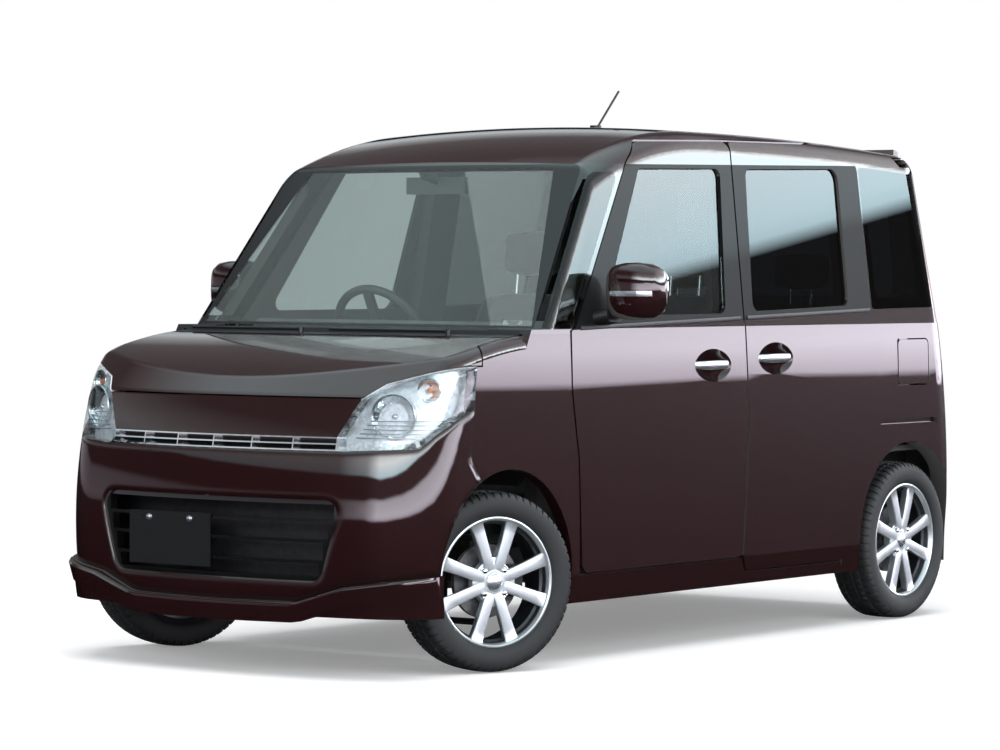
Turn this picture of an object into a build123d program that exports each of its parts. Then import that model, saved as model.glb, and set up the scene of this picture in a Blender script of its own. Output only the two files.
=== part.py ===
"""A tall kei wagon with front doors, sliding rear doors and a lifting tailgate.

Frame, in millimetres: X across with +X the car's left, Y along with the nose
at -Y, Z up, the origin on the ground under the middle of the car.
"""
import os
from math import cos, hypot, radians, sin

from build123d import *

# Body size and stance
WHEELBASE = 2425.0
FRONT_AXLE_Y = -1118.5
REAR_AXLE_Y = FRONT_AXLE_Y + WHEELBASE
BELT_Z = 1060.0
BELT_STEP = 2.0
ROOF_Z = 1735.0
ROOF_PEAK_Y = 100.0
ROOF_FRONT_R = 1762.0
ROOF_REAR_R = 21800.0
ROOF_EDGE_Z = 1690.0
ROOF_EDGE_X = 800.0
NOSE_BOW_R = 2200.0
SCREEN_BOW_R = 5000.0
SCREEN_FOOT = (-1010.0, 1042.0)
SCREEN_HEAD = (-590.0, 1595.0)
ROOF_ROUND = 90.0
PILLAR_ROUND = 50.0
BONNET_ROUND = 42.0

# Walls and gaps
WALL = 60.0
DOOR_SKIN = 15.0
DOOR_WALL = 55.0
DOOR_STEP = 14.0
FRONT_WALL = 40.0
FRAME_WALL = 105.0
GLASS_SET = 10.0
GLASS_T = 6.0
GLASS_LAP = 22.0
GAP = 5.0
SPLIT_GAP = 8.0
RUN = 0.3
RAIL_X = 562.0

# Body side, nose and tail lines below the belt as (out or y, z): foot, bulge, belt
SILL_FOOT = (716.0, 190.0)
SILL_TOP_Z = 300.0
SIDE_LINE = [(732.0, 190.0), (737.5, 600.0), (727.0, BELT_Z)]
NOSE_LINE = [(-1676.0, 190.0), (-1697.0, 430.0), (-1632.0, 860.0)]
TAIL_LINE = [(1690.0, 190.0), (1697.5, 480.0), (1640.0, BELT_Z)]
NOSE_CORNER_R = 230.0
TAIL_CORNER_R = 175.0
# Cabin side and tail above the belt: slope inward for each unit of height
CABIN_SIDE_SLOPE = 0.172
CABIN_TAIL_SLOPE = 0.05
CABIN_TOP_Z = 1800.0
# Bonnet line in side view: front, middle, rear as (y, z)
BONNET_LINE = [(-1640.0, 885.0), (-1330.0, 992.0), SCREEN_FOOT]

# Wheels
TYRE_R = 281.0
TYRE_W = 165.0
RIM_R = 203.0
RIM_BARREL_R = 188.0
RIM_W = 140.0
TRACK_HALF = 646.0
SPOKES = 8
SPOKE_SPREAD = 19.5
STUDS = 4
STUD_CIRCLE_R = 50.0
KINGPIN_X = 620.0
KINGPIN_R = 9.0
SPINDLE_R = 18.0
STEER_REST = -22.0
DISC_R = 118.0

# Swing of the door's front edge above the belt as (radius, z)
DOOR_NOSE_TOP = [(27.0, 1130.0), (10.0, 1160.0)]

# Door handles as (y, z), and the hollows behind them
DOOR_HANDLE = (24.0, 933.0)
SLIDER_HANDLE = (413.0, 950.0)
BOWL_HALF_L = 112.0
BOWL_HALF_H = 56.0
BOWL_DEEP = 28.0
SIDE_BOW_R = 12000.0

# Front door hinge and edges
HINGE_X = 700.0
HINGE_Y = -715.0
HINGE_HEIGHTS = (420.0, 860.0)
HINGE_PIN_R = 4.0
HINGE_PLATE_T = 8.0
POST_X = 612.0

# Side outlines as (y, z, corner radius)
DOOR_OUTLINE = [
    (-730, 285, 40), (-750, 650, 0), (-784, 860, 150), (-784, 1056, 12),
    (-757, 1062, 0), (-352, 1594, 120), (-238, 1670, 60), (284, 1684, 30),
    (222, 1075, 60), (236, 760, 150), (205, 285, 30),
]
SLIDER_OUTLINE = [
    (284 + SPLIT_GAP, 1684, 30), (1072, 1691, 95), (1097, 1600, 0),
    (1062, 1108, 20), (1080, 1000, 60), (1097, 752, 60), (1068, 640, 50),
    (938, 443, 80), (898, 258, 60), (858, 236, 30), (242, 236, 25),
    (205 + SPLIT_GAP, 288, 10), (236 + SPLIT_GAP, 760, 150), (222 + SPLIT_GAP, 1075, 60),
]
DOOR_WINDOW = [(-598, 1100, 30), (-282, 1579, 30), (205, 1590, 25), (120, 1103, 40)]
SLIDER_WINDOW = [(289, 1108, 30), (363, 1591, 30), (963, 1606, 40), (914, 1125, 45)]
REAR_WINDOW_HOLE = [(1112, 1150, 30), (1142, 1588, 30), (1420, 1594, 30), (1400, 1156, 30)]
REAR_WINDOW = [(1068, 1112, 15), (1104, 1614, 15), (1620, 1625, 15), (1600, 1118, 15)]
FRONT_WINDOW = [(-1000, 1064, 25), (-785, 1064, 10), (-402, 1568, 20), (-590, 1560, 25)]
FRONT_ARCH = (-1124.0, 292.0, 338.0)
REAR_ARCH = (1303.0, 303.0, 334.0)
ARCH_FLATS = 72
SKIRT_OUTLINE = [
    (-802, 150, 0), (-802, 280, 0), (201, 280, 0), (238, 231, 20), (862, 231, 20), (868, 150, 0),
]
FENDER_FRONT = [
    (-1278, 100, 0), (-1278, 608, 0), (-1322, 663, 0), (-1307, 814, 0), (-1287, 958, 0),
    (-1287, 1150, 0), (-1800, 1150, 0), (-1800, 100, 0),
]
REAR_BUMPER_OUTLINE = [
    (1380, 100, 0), (1445, 597, 0), (1563, 633, 0), (1620, 652, 0), (1800, 652, 0), (1800, 100, 0),
]
ROOF_OUTLINE = [
    (-760, 1593, 0), (-343, 1593, 0), (-233, 1677, 60), (284, 1691, 0), (1072, 1698, 0), (1420, 1698, 0),
    (1420, 1850, 0), (-760, 1850, 0),
]
RAIL_GROOVE = [(1101, 703, 0), (1500, 703, 0), (1500, 719, 0), (1101, 719, 0)]
FLAP_PIN_R = 2.5
FLAP_NOSE_R = 13.0
FLAP_OUTLINE = [(1227, 840, 22), (1440, 840, 22), (1440, 1004, 22), (1227, 1004, 22)]

# Front and rear outlines as (x, z, corner radius)
SCREEN_OUTLINE = [(-687, 1063, 0), (687, 1063, 0), (598, 1588, 40), (-598, 1588, 40)]
LAMP_FRONT = [
    (462, 694, 20), (700, 706, 0), (760, 770, 0), (760, 985, 0), (690, 940, 0), (560, 902, 0),
    (512, 858, 20), (448, 736, 10),
]
LAMP_SIDE = [
    (-1800, 640, 0), (-1530, 694, 0), (-1465, 748, 60), (-1389, 791, 0), (-1307, 818, 0), (-1287, 962, 0),
    (-1500, 970, 0), (-1800, 970, 0),
]
GRILLE_OUTLINE = [(-474, 695, 0), (474, 695, 0), (474, 737, 0), (-474, 737, 0)]
NOSE_OUTLINE = [(-540, 737, 0), (540, 737, 0), (540, 858, 0), (-540, 858, 0)]
BONNET_FRONT = [
    (0, 858, 0), (512, 858, 0), (560, 902, 0), (690, 941, 0), (760, 963, 0), (760, 1200, 0), (0, 1200, 0),
]
OPENING_OUTLINE = [(-412, 298, 45), (412, 298, 45), (486, 547, 45), (-486, 547, 45)]
LIP_OUT = 14.0
LIP_LINE = [
    (0, 100, 0), (0, 230, 0), (330, 234, 150), (480, 288, 150), (800, 330, 0), (800, 100, 0),
]
TAILGATE_OUTLINE = [
    (-575, 656, 30), (575, 656, 30), (596, 1000, 0), (588, 1100, 0), (540, 1800, 0), (-540, 1800, 0),
    (-588, 1100, 0), (-596, 1000, 0),
]
TAIL_WINDOW = [(-520, 1130, 60), (520, 1130, 60), (492, 1600, 60), (-492, 1600, 60)]
TAIL_LAMP_OUTLINE = [(610, 1064, 12), (780, 1064, 0), (780, 1377, 0), (594, 1377, 12)]

# Bonnet and tailgate edges and hinges
BONNET_HALF = 692.0
COWL_HALF = 684.0
COWL_TOP_Z = 1056.0
BONNET_T = 30.0
BONNET_AXIS = (-1088.0, 1014.0)
BONNET_HINGE_X = 600.0
LID_NOSE_R = 18.0
BONNET_CLEAR = 9.0
TAILGATE_FRONT_Y = 1414.0
TAILGATE_SILL_Z = 1652.0
TAILGATE_AXIS = (1446.0, 1666.0)
TAILGATE_NOSE_R = 56.0
TAILGATE_HINGE_X = 430.0

# Inside
FLOOR_Z = 280.0
FLOOR_T = 30.0
SILL_Z = 285.0
WELL_Z = 620.0
DECK_Z = 450.0
DECK_Y = 960.0
SEAT_X = 330.0
STEER_HUB = (-330.0, -400.0, 1015.0)
STEER_R = 180.0
DASH_Y = -840.0
STEER_TILT = 27.0
STEER_AXIS = Vector(0, cos(radians(STEER_TILT)), sin(radians(STEER_TILT)))
INNER_MIRROR = (0.0, -530.0, 1520.0)

# Grilles, plates, wipers and antenna
GRILLE_ROWS = 2
GRILLE_COLUMNS = 6
GRILLE_PITCH = 150.0
GRILLE_BAR = 4.0
SLAT_HEIGHTS = (357.0, 421.0, 481.0)
SLAT_T = 10.0
SLAT_RIM = 14.0
PLATE_CENTRE = (-155.0, 409.0)
PLATE_Y = -1696.0
REAR_PLATE_Y = 1668.0
REAR_PLATE_Z = 900.0
WIPER_SPANS = ((430.0, -60.0), (-170.0, -640.0))
ANTENNA_Y = 380.0
ANTENNA_TIP = (520.0, 1876.0)

OUT = 900.0
nodes = {}


def rounded(rows):
    """Closed flat outline from rows of (across, up, corner radius)."""
    face = Polygon(*[(a, b) for a, b, r in rows], align=None)
    for a, b, r in rows:
        if r:
            face = fillet(face.vertices().sort_by_distance(Vector(a, b, 0))[0], r)
    return face


def seen_from_side(face, x0, x1):
    plane = Plane(origin=(x0, 0, 0), x_dir=(0, 1, 0), z_dir=(1, 0, 0))
    return extrude(plane * face, x1 - x0, dir=(1, 0, 0))


def seen_from_front(face, y0, y1):
    plane = Plane(origin=(0, y1, 0), x_dir=(1, 0, 0), z_dir=(0, -1, 0))
    return extrude(plane * face, y1 - y0, dir=(0, -1, 0))


def seen_from_above(face, z0, z1):
    return extrude(Plane(origin=(0, 0, z0)) * face, z1 - z0, dir=(0, 0, 1))


def grown(face, amount):
    return offset(face, amount=amount, kind=Kind.INTERSECTION)


def block(x, y, z):
    """Box between pairs of limits along each axis."""
    size = (x[1] - x[0], y[1] - y[0], z[1] - z[0])
    return Pos((x[0] + x[1]) / 2, (y[0] + y[1]) / 2, (z[0] + z[1]) / 2) * Box(*size)


def rod(start, end, radius):
    """Round bar between two points."""
    a = Vector(*start)
    way = Vector(*end) - a
    bar = Cylinder(radius, way.length, align=(Align.CENTER, Align.CENTER, Align.MIN))
    return Plane(origin=a, z_dir=way) * bar


def both(left):
    """A left-hand piece together with its mirror image."""
    return Compound(children=[s for s in left.solids()] + [s for s in mirror(left, Plane.YZ).solids()])


def right_of(left):
    return mirror(left, Plane.YZ)


def edges_where(solid, test):
    return [edge for edge in solid.edges() if test(edge.center())]


def softened(solid, test, radius):
    """Round the edges picked by test; an inset deeper than the radius leaves them sharp."""
    if radius < 5:
        return solid
    return fillet(edges_where(solid, test), radius)


SCREEN_RUN = Vector(0, SCREEN_HEAD[0] - SCREEN_FOOT[0], SCREEN_HEAD[1] - SCREEN_FOOT[1]).normalized()
SCREEN_OUT = Vector(0, -SCREEN_RUN.Z, SCREEN_RUN.Y)


def lower_body(inset):
    """Everything under the belt: bowed nose, barrelled sides, rounded tail and the bonnet line."""
    foot, bulge, belt = [(out - inset, z) for out, z in SIDE_LINE]
    across = make_face(Curve() + [
        ThreePointArc(foot, bulge, belt), Line(belt, (-belt[0], belt[1])),
        ThreePointArc((-belt[0], belt[1]), (-bulge[0], bulge[1]), (-foot[0], foot[1])),
        Line((-foot[0], foot[1]), foot),
    ])
    foot, bulge, belt = [(y - inset, z) for y, z in TAIL_LINE]
    tail = make_face(Curve() + [
        ThreePointArc(foot, bulge, belt), Line(belt, (-1900, belt[1])), Line((-1900, belt[1]), (-1900, foot[1])),
        Line((-1900, foot[1]), foot),
    ])
    foot, bulge, top = [(y + inset, z) for y, z in NOSE_LINE]
    axis_y = NOSE_LINE[1][0] + NOSE_BOW_R
    over = (top[0] + 420, BELT_Z + 200)
    nose = make_face(Curve() + [
        ThreePointArc(foot, bulge, top), Line(top, over), Line(over, (axis_y, over[1])),
        Line((axis_y, over[1]), (axis_y, foot[1])), Line((axis_y, foot[1]), foot),
    ])
    nose = Plane(origin=(0, 0, 0), x_dir=(0, 1, 0), z_dir=(1, 0, 0)) * nose
    bowed = revolve(nose, Axis((0, axis_y, 0), (0, 0, 1)), 360)
    bowed = bowed + block((-OUT, OUT), (axis_y - 600, 1900), (190, BELT_Z + 200))
    body = seen_from_front(across, -1900, 1900) & seen_from_side(tail, -OUT, OUT)

    def on_tail_corner(c):
        return c.Y > 1500 and abs(c.X) > 600 and 400 < c.Z < 900

    def on_nose_corner(c):
        return c.Y < -1100 and abs(c.X) > 600 and 400 < c.Z < 900

    body = softened(body, on_tail_corner, TAIL_CORNER_R - inset)
    body = softened(body & bowed, on_nose_corner, NOSE_CORNER_R - inset)
    front, middle, rear = [(y, z - inset) for y, z in BONNET_LINE]
    belt_y = SCREEN_FOOT[0] + (BELT_Z - SCREEN_FOOT[1]) * SCREEN_RUN.Y / SCREEN_RUN.Z
    belt_y = belt_y + inset - 2 * BELT_STEP
    profile = make_face(Curve() + [
        Line((-1900, 0), (-1900, front[1] - 115)), Line((-1900, front[1] - 115), front),
        ThreePointArc(front, middle, rear), Line(rear, (belt_y, BELT_Z)),
        Line((belt_y, BELT_Z), (1900, BELT_Z)), Line((1900, BELT_Z), (1900, 0)), Line((1900, 0), (-1900, 0)),
    ])
    body = body & seen_from_side(profile, -OUT, OUT)

    def on_bonnet_edge(c):
        return c.Y < -1020 and c.Z > 770 and (abs(c.X) > 500 or (abs(c.X) < 5 and c.Y < -1450))

    body = softened(body, on_bonnet_edge, BONNET_ROUND - inset)
    sill = SILL_FOOT[0] - inset
    wide = sill + (SIDE_LINE[1][0] - SILL_FOOT[0]) * 2
    rise = SILL_FOOT[1] + 2 * (SILL_TOP_Z - SILL_FOOT[1])
    trim = Polygon((-sill, SILL_FOOT[1]), (sill, SILL_FOOT[1]), (wide, rise), (wide, 1200),
                   (-wide, 1200), (-wide, rise), align=None)
    return body & seen_from_front(trim, -1900, 1900)


def cabin(inset):
    """Everything above the belt: leaning sides and tail, windscreen cylinder and domed roof."""
    foot = SIDE_LINE[2][0] - BELT_STEP - inset
    head = foot - (CABIN_TOP_Z - BELT_Z) * CABIN_SIDE_SLOPE
    across = Polygon((-foot, BELT_Z), (foot, BELT_Z), (head, CABIN_TOP_Z), (-head, CABIN_TOP_Z), align=None)
    foot = TAIL_LINE[2][0] - BELT_STEP - inset
    head = foot - (CABIN_TOP_Z - BELT_Z) * CABIN_TAIL_SLOPE
    along = Polygon((-1900, BELT_Z), (foot, BELT_Z), (head, CABIN_TOP_Z), (-1900, CABIN_TOP_Z), align=None)
    shape = seen_from_front(across, -1900, 1900) & seen_from_side(along, -OUT, OUT)

    def on_tail_corner(c):
        return c.Y > 1500 and abs(c.X) > 500 and 1200 < c.Z < 1700

    shape = softened(shape, on_tail_corner, TAIL_CORNER_R - inset)
    foot = Vector(0, *SCREEN_FOOT) - SCREEN_OUT * SCREEN_BOW_R - SCREEN_RUN * 2500
    screen = Plane(origin=foot, z_dir=SCREEN_RUN, x_dir=(1, 0, 0)) * Cylinder(
        SCREEN_BOW_R - inset, 5000, align=(Align.CENTER, Align.CENTER, Align.MIN))
    half, edge = ROOF_EDGE_X, ROOF_EDGE_Z - inset
    dome = make_face(Curve() + [
        Line((-half, 900), (half, 900)), Line((half, 900), (half, edge)),
        ThreePointArc((half, edge), (0, ROOF_Z - inset), (-half, edge)), Line((-half, edge), (-half, 900)),
    ])
    dome = Plane(origin=(0, ROOF_PEAK_Y, 0), x_dir=(1, 0, 0), z_dir=(0, -1, 0)) * dome
    front = revolve(dome, Axis((0, ROOF_PEAK_Y, ROOF_Z - ROOF_FRONT_R), (1, 0, 0)), 62)
    rear = revolve(dome, Axis((0, ROOF_PEAK_Y, ROOF_Z - ROOF_REAR_R), (1, 0, 0)), -5)
    shape = shape & screen & (front + rear)

    def on_roof_edge(c):
        return c.Z > 1560 and (abs(c.X) > 420 or c.Y > 1450)

    def on_front_pillar(c):
        return c.Y < -400 and abs(c.X) > 540 and 1150 < c.Z < 1500

    shape = softened(shape, on_roof_edge, ROOF_ROUND - inset)
    return softened(shape, on_front_pillar, PILLAR_ROUND - inset)


def envelope(inset):
    return lower_body(inset) + cabin(inset)


HULL_INSETS = (0, GLASS_SET, GLASS_SET + GLASS_T, DOOR_SKIN, BONNET_T, FRONT_WALL, DOOR_WALL, WALL, FRAME_WALL)
hull = {inset: envelope(inset) for inset in HULL_INSETS}
layers = {}


def layer(outer, inner):
    """The body wall between two insets from the outer skin."""
    if (outer, inner) not in layers:
        layers[outer, inner] = hull[outer] - hull[inner]
    return layers[outer, inner]


wall = layer(0, WALL)
front_wall = layer(0, FRONT_WALL)


def left_side(rows, extra=0.0, holes=(), start=RAIL_X):
    """Prism through the left side from an outline, less the outlines of its holes."""
    face = rounded(rows)
    if extra:
        face = grown(face, extra)
    for hole in holes:
        face = face - hole
    return seen_from_side(face, start, OUT)


def arch(row):
    """Wheel opening from (y, z, radius), in short flats."""
    y, z, radius = row
    turns = [radians((flat + 0.5) * 360 / ARCH_FLATS) for flat in range(ARCH_FLATS)]
    return Polygon(*[(y + radius * cos(t), z + radius * sin(t)) for t in turns], align=None)


door_cut = left_side(DOOR_OUTLINE, GAP)
slider_plug = left_side(SLIDER_OUTLINE)
nose_zone = seen_from_side(rounded(FENDER_FRONT) - arch(FRONT_ARCH), -OUT, OUT)
tailgate_sweep = rod((-OUT, *TAILGATE_AXIS), (OUT, *TAILGATE_AXIS), TAILGATE_NOSE_R + GAP)
bonnet_sweep = rod((-OUT, *BONNET_AXIS), (OUT, *BONNET_AXIS), LID_NOSE_R + BONNET_CLEAR)
cowl_zone = block((-COWL_HALF, COWL_HALF), (BONNET_AXIS[0], -940), (940, COWL_TOP_Z))


def door_nose(extra):
    """Round space about the hinge that the door's front edge swings through."""
    skin = SIDE_LINE[1][0] - HINGE_X
    rows = [(hypot(skin, y - HINGE_Y) + extra, z) for y, z, r in DOOR_OUTLINE[:5]]
    rows = [(rows[0][0], 200)] + rows + [(r + extra, z) for r, z in DOOR_NOSE_TOP]
    profile = Polygon(*rows, (0, rows[-1][1]), (0, 200), align=None)
    standing = Plane(origin=(HINGE_X, HINGE_Y, 0), x_dir=(1, 0, 0), z_dir=(0, -1, 0)) * profile
    return revolve(standing, Axis((HINGE_X, HINGE_Y, 0), (0, 0, 1)), 360)


hinge_sweep = door_nose(GAP)


def pane(zone):
    """Glass set back from the skin, in a door that lowers it."""
    return layer(GLASS_SET, GLASS_SET + GLASS_T) & zone


def bonded_pane(zone):
    """Glass flush with the skin, bonded over the edge of its frame."""
    return layer(0, GLASS_SET) & zone


roof_zone = seen_from_side(rounded(ROOF_OUTLINE), -OUT, OUT)
screen_glass = bonded_pane(seen_from_front(rounded(SCREEN_OUTLINE), -1400, -300))
screen_margin = seen_from_front(grown(rounded(SCREEN_OUTLINE), GLASS_LAP), -1400, -300)
front_side_glass = bonded_pane(left_side(FRONT_WINDOW)) - screen_margin
tail_lamp_zone = seen_from_front(rounded(TAIL_LAMP_OUTLINE), 1500, 1800)
tailgate_cut = seen_from_front(grown(rounded(TAILGATE_OUTLINE), GAP), 1300, 1800)
quarter_glass = bonded_pane(left_side(REAR_WINDOW, start=400)) - tailgate_cut - tail_lamp_zone


screen_hole = seen_from_front(grown(rounded(SCREEN_OUTLINE), -GLASS_LAP), -1400, -300)


def make_roof():
    """Roof panel between the side rails, with the rails over the doors and the screen header."""
    panel = wall & (roof_zone + block((-RAIL_X, RAIL_X), (-760, 1420), (1540, 1850)))
    panel = panel - screen_glass - screen_hole - both(front_side_glass)
    return panel - both(door_cut) - both(slider_plug) - tailgate_sweep


def make_front_pillars():
    hole = grown(rounded(FRONT_WINDOW), -GLASS_LAP)
    zone = left_side([(-1100, 1046, 0), (-752, 1046, 0), (-343, 1593, 0), (-760, 1593, 0)], holes=[hole])
    pillar = (wall & zone) - screen_hole - screen_glass - front_side_glass
    return pillar - door_cut - hinge_sweep - cowl_zone


def handle_bowl(place):
    """Hollow behind a door handle: an arc turned about a line along the car."""
    y, z = place
    skin = SIDE_LINE[1][0] - (z - SIDE_LINE[1][1]) ** 2 / (2 * SIDE_BOW_R)
    rim = (BOWL_HALF_H ** 2 - BOWL_DEEP ** 2) / (2 * BOWL_DEEP)
    run = BOWL_HALF_L * 1.04
    ends = rim + BOWL_DEEP * (1 - 1.04 ** 2)
    profile = make_face(Curve() + [
        Line((-run, 0), (-run, ends)), ThreePointArc((-run, ends), (0, rim + BOWL_DEEP), (run, ends)),
        Line((run, ends), (run, 0)), Line((run, 0), (-run, 0)),
    ])
    flat = Plane(origin=(skin + rim, y, z), x_dir=(0, 1, 0), z_dir=(1, 0, 0)) * profile
    return revolve(flat, Axis((skin + rim, y, z), (0, 1, 0)), 360)


def make_front_door():
    window = [rounded(DOOR_WINDOW)]
    skin = layer(0, DOOR_SKIN) & left_side(DOOR_OUTLINE, holes=window)
    inner = layer(DOOR_SKIN, DOOR_WALL) & left_side(DOOR_OUTLINE, -DOOR_STEP, window)
    door = (skin + inner) - block((0, RAIL_X + GAP), (-500, 400), (1500, 1800))
    nose = block((600, OUT), (HINGE_Y - 120, HINGE_Y), (200, 1062))
    door = door - (nose - door_nose(0)) - handle_bowl(DOOR_HANDLE)
    slot_half = HINGE_PLATE_T / 2 + GAP
    for height in HINGE_HEIGHTS:
        slot = (height - slot_half, height + slot_half)
        door = door - block((500, HINGE_X + 16), (HINGE_Y - 150, HINGE_Y + 16), slot)
        low, high = height - 32, height + 32
        door = door - rod((HINGE_X, HINGE_Y, low), (HINGE_X, HINGE_Y, high), HINGE_PIN_R + RUN)
    return door


def make_door_hinges():
    pieces = []
    for height in HINGE_HEIGHTS:
        plate = block((POST_X, HINGE_X), (HINGE_Y - 10, HINGE_Y + 10),
                      (height - HINGE_PLATE_T / 2, height + HINGE_PLATE_T / 2))
        half = HINGE_PLATE_T / 2
        eye = rod((HINGE_X, HINGE_Y, height - half), (HINGE_X, HINGE_Y, height + half), 10)
        pin = rod((HINGE_X, HINGE_Y, height - 30), (HINGE_X, HINGE_Y, height + 30), HINGE_PIN_R)
        pieces.append(plate + eye + pin)
    return both(Compound(children=pieces))


def make_side_frames():
    """Door pillars and cant rails behind the doors."""
    ring = layer(WALL, FRAME_WALL)
    middle = ring & block((470, OUT), (168, 318), (SILL_Z, 1690))
    rear = ring & block((470, OUT), (1012, 1120), (WELL_Z, 1690))
    post = block((POST_X - 48, POST_X), (-810, -690), (SILL_Z, 1040))
    return middle, rear, post


def make_quarter():
    holes = [rounded(rows) for rows in (SLIDER_OUTLINE, REAR_BUMPER_OUTLINE, SKIRT_OUTLINE, REAR_WINDOW_HOLE)]
    holes = holes + [arch(REAR_ARCH), rounded(ROOF_OUTLINE)]
    rows = [(864, 190, 0), (1800, 190, 0), (1800, 1698, 0), (864, 1698, 0)]
    panel = wall & left_side(rows, holes=holes, start=400)
    panel = panel - tailgate_cut - block((0, RAIL_X), (800, 1420), (1500, 1800))
    panel = panel - block((0, OUT), (TAILGATE_FRONT_Y, 1800), (TAILGATE_SILL_Z, 1800)) - tailgate_sweep
    panel = panel - quarter_glass - tail_lamp_zone - (layer(0, DOOR_SKIN) & left_side(RAIL_GROOVE))
    return panel.solids().sort_by(SortBy.VOLUME)[-1]


FLAP_PIVOT = (SIDE_LINE[1][0] - 13, FLAP_OUTLINE[0][0] + 11.5)


def flap_rod(radius, extra):
    low, high = FLAP_OUTLINE[0][1] - extra, FLAP_OUTLINE[2][1] + extra
    return rod((*FLAP_PIVOT, low), (*FLAP_PIVOT, high), radius)


def make_fuel_flap():
    flap = layer(0, DOOR_SKIN) & left_side(FLAP_OUTLINE, -GAP / 2)
    nose = block((600, OUT), (FLAP_PIVOT[1] - 60, FLAP_PIVOT[1]), (700, 1100)) - flap_rod(FLAP_NOSE_R, 20)
    return flap - nose - flap_rod(FLAP_PIN_R + RUN, 10)


def make_quarters():
    """Both quarter panels, the left one with the filler pocket and its hinge pin."""
    quarter = make_quarter()
    pocket = (layer(0, FRONT_WALL) & left_side(FLAP_OUTLINE, GAP / 2)) + flap_rod(FLAP_NOSE_R + GAP, GAP / 2)
    left = (quarter - pocket) + flap_rod(FLAP_PIN_R, 12)
    return Compound(children=list(left.solids()) + list(mirror(quarter, Plane.YZ).solids()))


tailgate_glass = bonded_pane(seen_from_front(rounded(TAIL_WINDOW), 1400, 1800))


def make_tailgate():
    rear = seen_from_front(rounded(TAILGATE_OUTLINE), 1380, 1800)
    top = block((-OUT, OUT), (1380, 1800), (TAILGATE_SILL_Z + GAP, 1850))
    gate = (layer(0, DOOR_WALL) & (rear + top)) - tailgate_glass
    gate = gate - seen_from_front(grown(rounded(TAIL_WINDOW), -GLASS_LAP), 1400, 1800)
    nose = block((-OUT, OUT), (1300, TAILGATE_AXIS[0]), (1500, 1850))
    gate = gate - (nose - rod((-OUT, *TAILGATE_AXIS), (OUT, *TAILGATE_AXIS), TAILGATE_NOSE_R))
    y, z = TAILGATE_AXIS
    for side in (-1, 1):
        x = side * TAILGATE_HINGE_X
        gate = gate - block((x - 9, x + 9), (y - 60, y + 14), (z - 120, z + 14))
        gate = gate - rod((x - 30, y, z), (x + 30, y, z), HINGE_PIN_R + RUN)
    return gate


def pin_eye(x, axis, half):
    eye = rod((x - half, *axis), (x + half, *axis), 9)
    return eye + rod((x - 28, *axis), (x + 28, *axis), HINGE_PIN_R)


def make_tailgate_hinges(roof):
    """Goose-neck arms from under the roof to the tailgate's pins."""
    y, z = TAILGATE_AXIS
    arm = rounded([(y - 8, z, 0), (y + 8, z, 0), (y + 8, z - 70, 0), (y - 76, z - 70, 0), (y - 76, z + 40, 0),
                   (y - 50, z + 40, 0), (y - 50, z - 55, 0), (y - 8, z - 55, 0)])
    left = seen_from_side(arm, TAILGATE_HINGE_X - 4, TAILGATE_HINGE_X + 4) - roof
    left = (left & block((0, OUT), (1300, 1500), (1500, z))) + pin_eye(TAILGATE_HINGE_X, TAILGATE_AXIS, 4)
    return left.solids().sort_by(SortBy.VOLUME)[-1]


def make_fender():
    rows = [(-726, 280, 0), (-740, 650, 0), (-774, 860, 0), (-774, 1100, 0), (-1340, 1100, 0), (-1340, 280, 0)]
    holes = [rounded(FENDER_FRONT), arch(FRONT_ARCH), grown(rounded(DOOR_OUTLINE), GAP)]
    panel = (front_wall & left_side(rows, holes=holes)) - hinge_sweep - bonnet_zone(GAP)
    panel = panel & block((BONNET_HALF + GAP, OUT), (-1400, -600), (100, 1046))
    return panel


def bonnet_zone(grow):
    """Space of the bonnet from its rolled front lip back to the cowl."""
    half = rounded(BONNET_FRONT)
    face = half + mirror(half, Plane.YZ)
    if grow:
        face = grown(face, grow)
    front = seen_from_front(face, -1800, -900)
    shoulder = BONNET_HALF + grow
    step = -1282 + grow
    top = rounded([(-760, -1800, 0), (760, -1800, 0), (760, step, 0), (shoulder, step + 42, 0),
                   (shoulder, -900, 0), (-shoulder, -900, 0), (-shoulder, step + 42, 0), (-760, step, 0)])
    return front & seen_from_above(top, 700, 1200)


def make_bonnet():
    lid = layer(0, BONNET_T) & bonnet_zone(0)
    rear = block((-OUT, OUT), (BONNET_AXIS[0], -800), (900, 1200))
    lid = lid - (rear - rod((-OUT, *BONNET_AXIS), (OUT, *BONNET_AXIS), LID_NOSE_R))
    y, z = BONNET_AXIS
    for side in (-1, 1):
        x = side * BONNET_HINGE_X
        lid = lid - block((x - 9, x + 9), (y - 14, y + 60), (z - 60, z + 13))
        lid = lid - rod((x - 30, y, z), (x + 30, y, z), HINGE_PIN_R + RUN)
    return lid


def make_bonnet_hinges(cowl):
    y, z = BONNET_AXIS
    arm = rounded([(y - 8, z, 0), (y + 8, z, 0), (y + 20, z - 36, 0), (y + 70, z - 36, 0), (y + 70, z - 70, 0),
                   (y - 8, z - 70, 0)])
    left = seen_from_side(arm, BONNET_HINGE_X - 4, BONNET_HINGE_X + 4) - cowl
    left = left + pin_eye(BONNET_HINGE_X, BONNET_AXIS, 4)
    return left.solids().sort_by(SortBy.VOLUME)[-1]


def make_skirt():
    zone = left_side(SKIRT_OUTLINE, holes=[arch(FRONT_ARCH), arch(REAR_ARCH)])
    return (wall & zone) & block((300, OUT), (-802, 900), (190, 300))


def make_tail_lamp():
    return wall & tail_lamp_zone


def make_rear_bumper():
    return wall & seen_from_side(rounded(REAR_BUMPER_OUTLINE) - arch(REAR_ARCH), -OUT, OUT)


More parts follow.
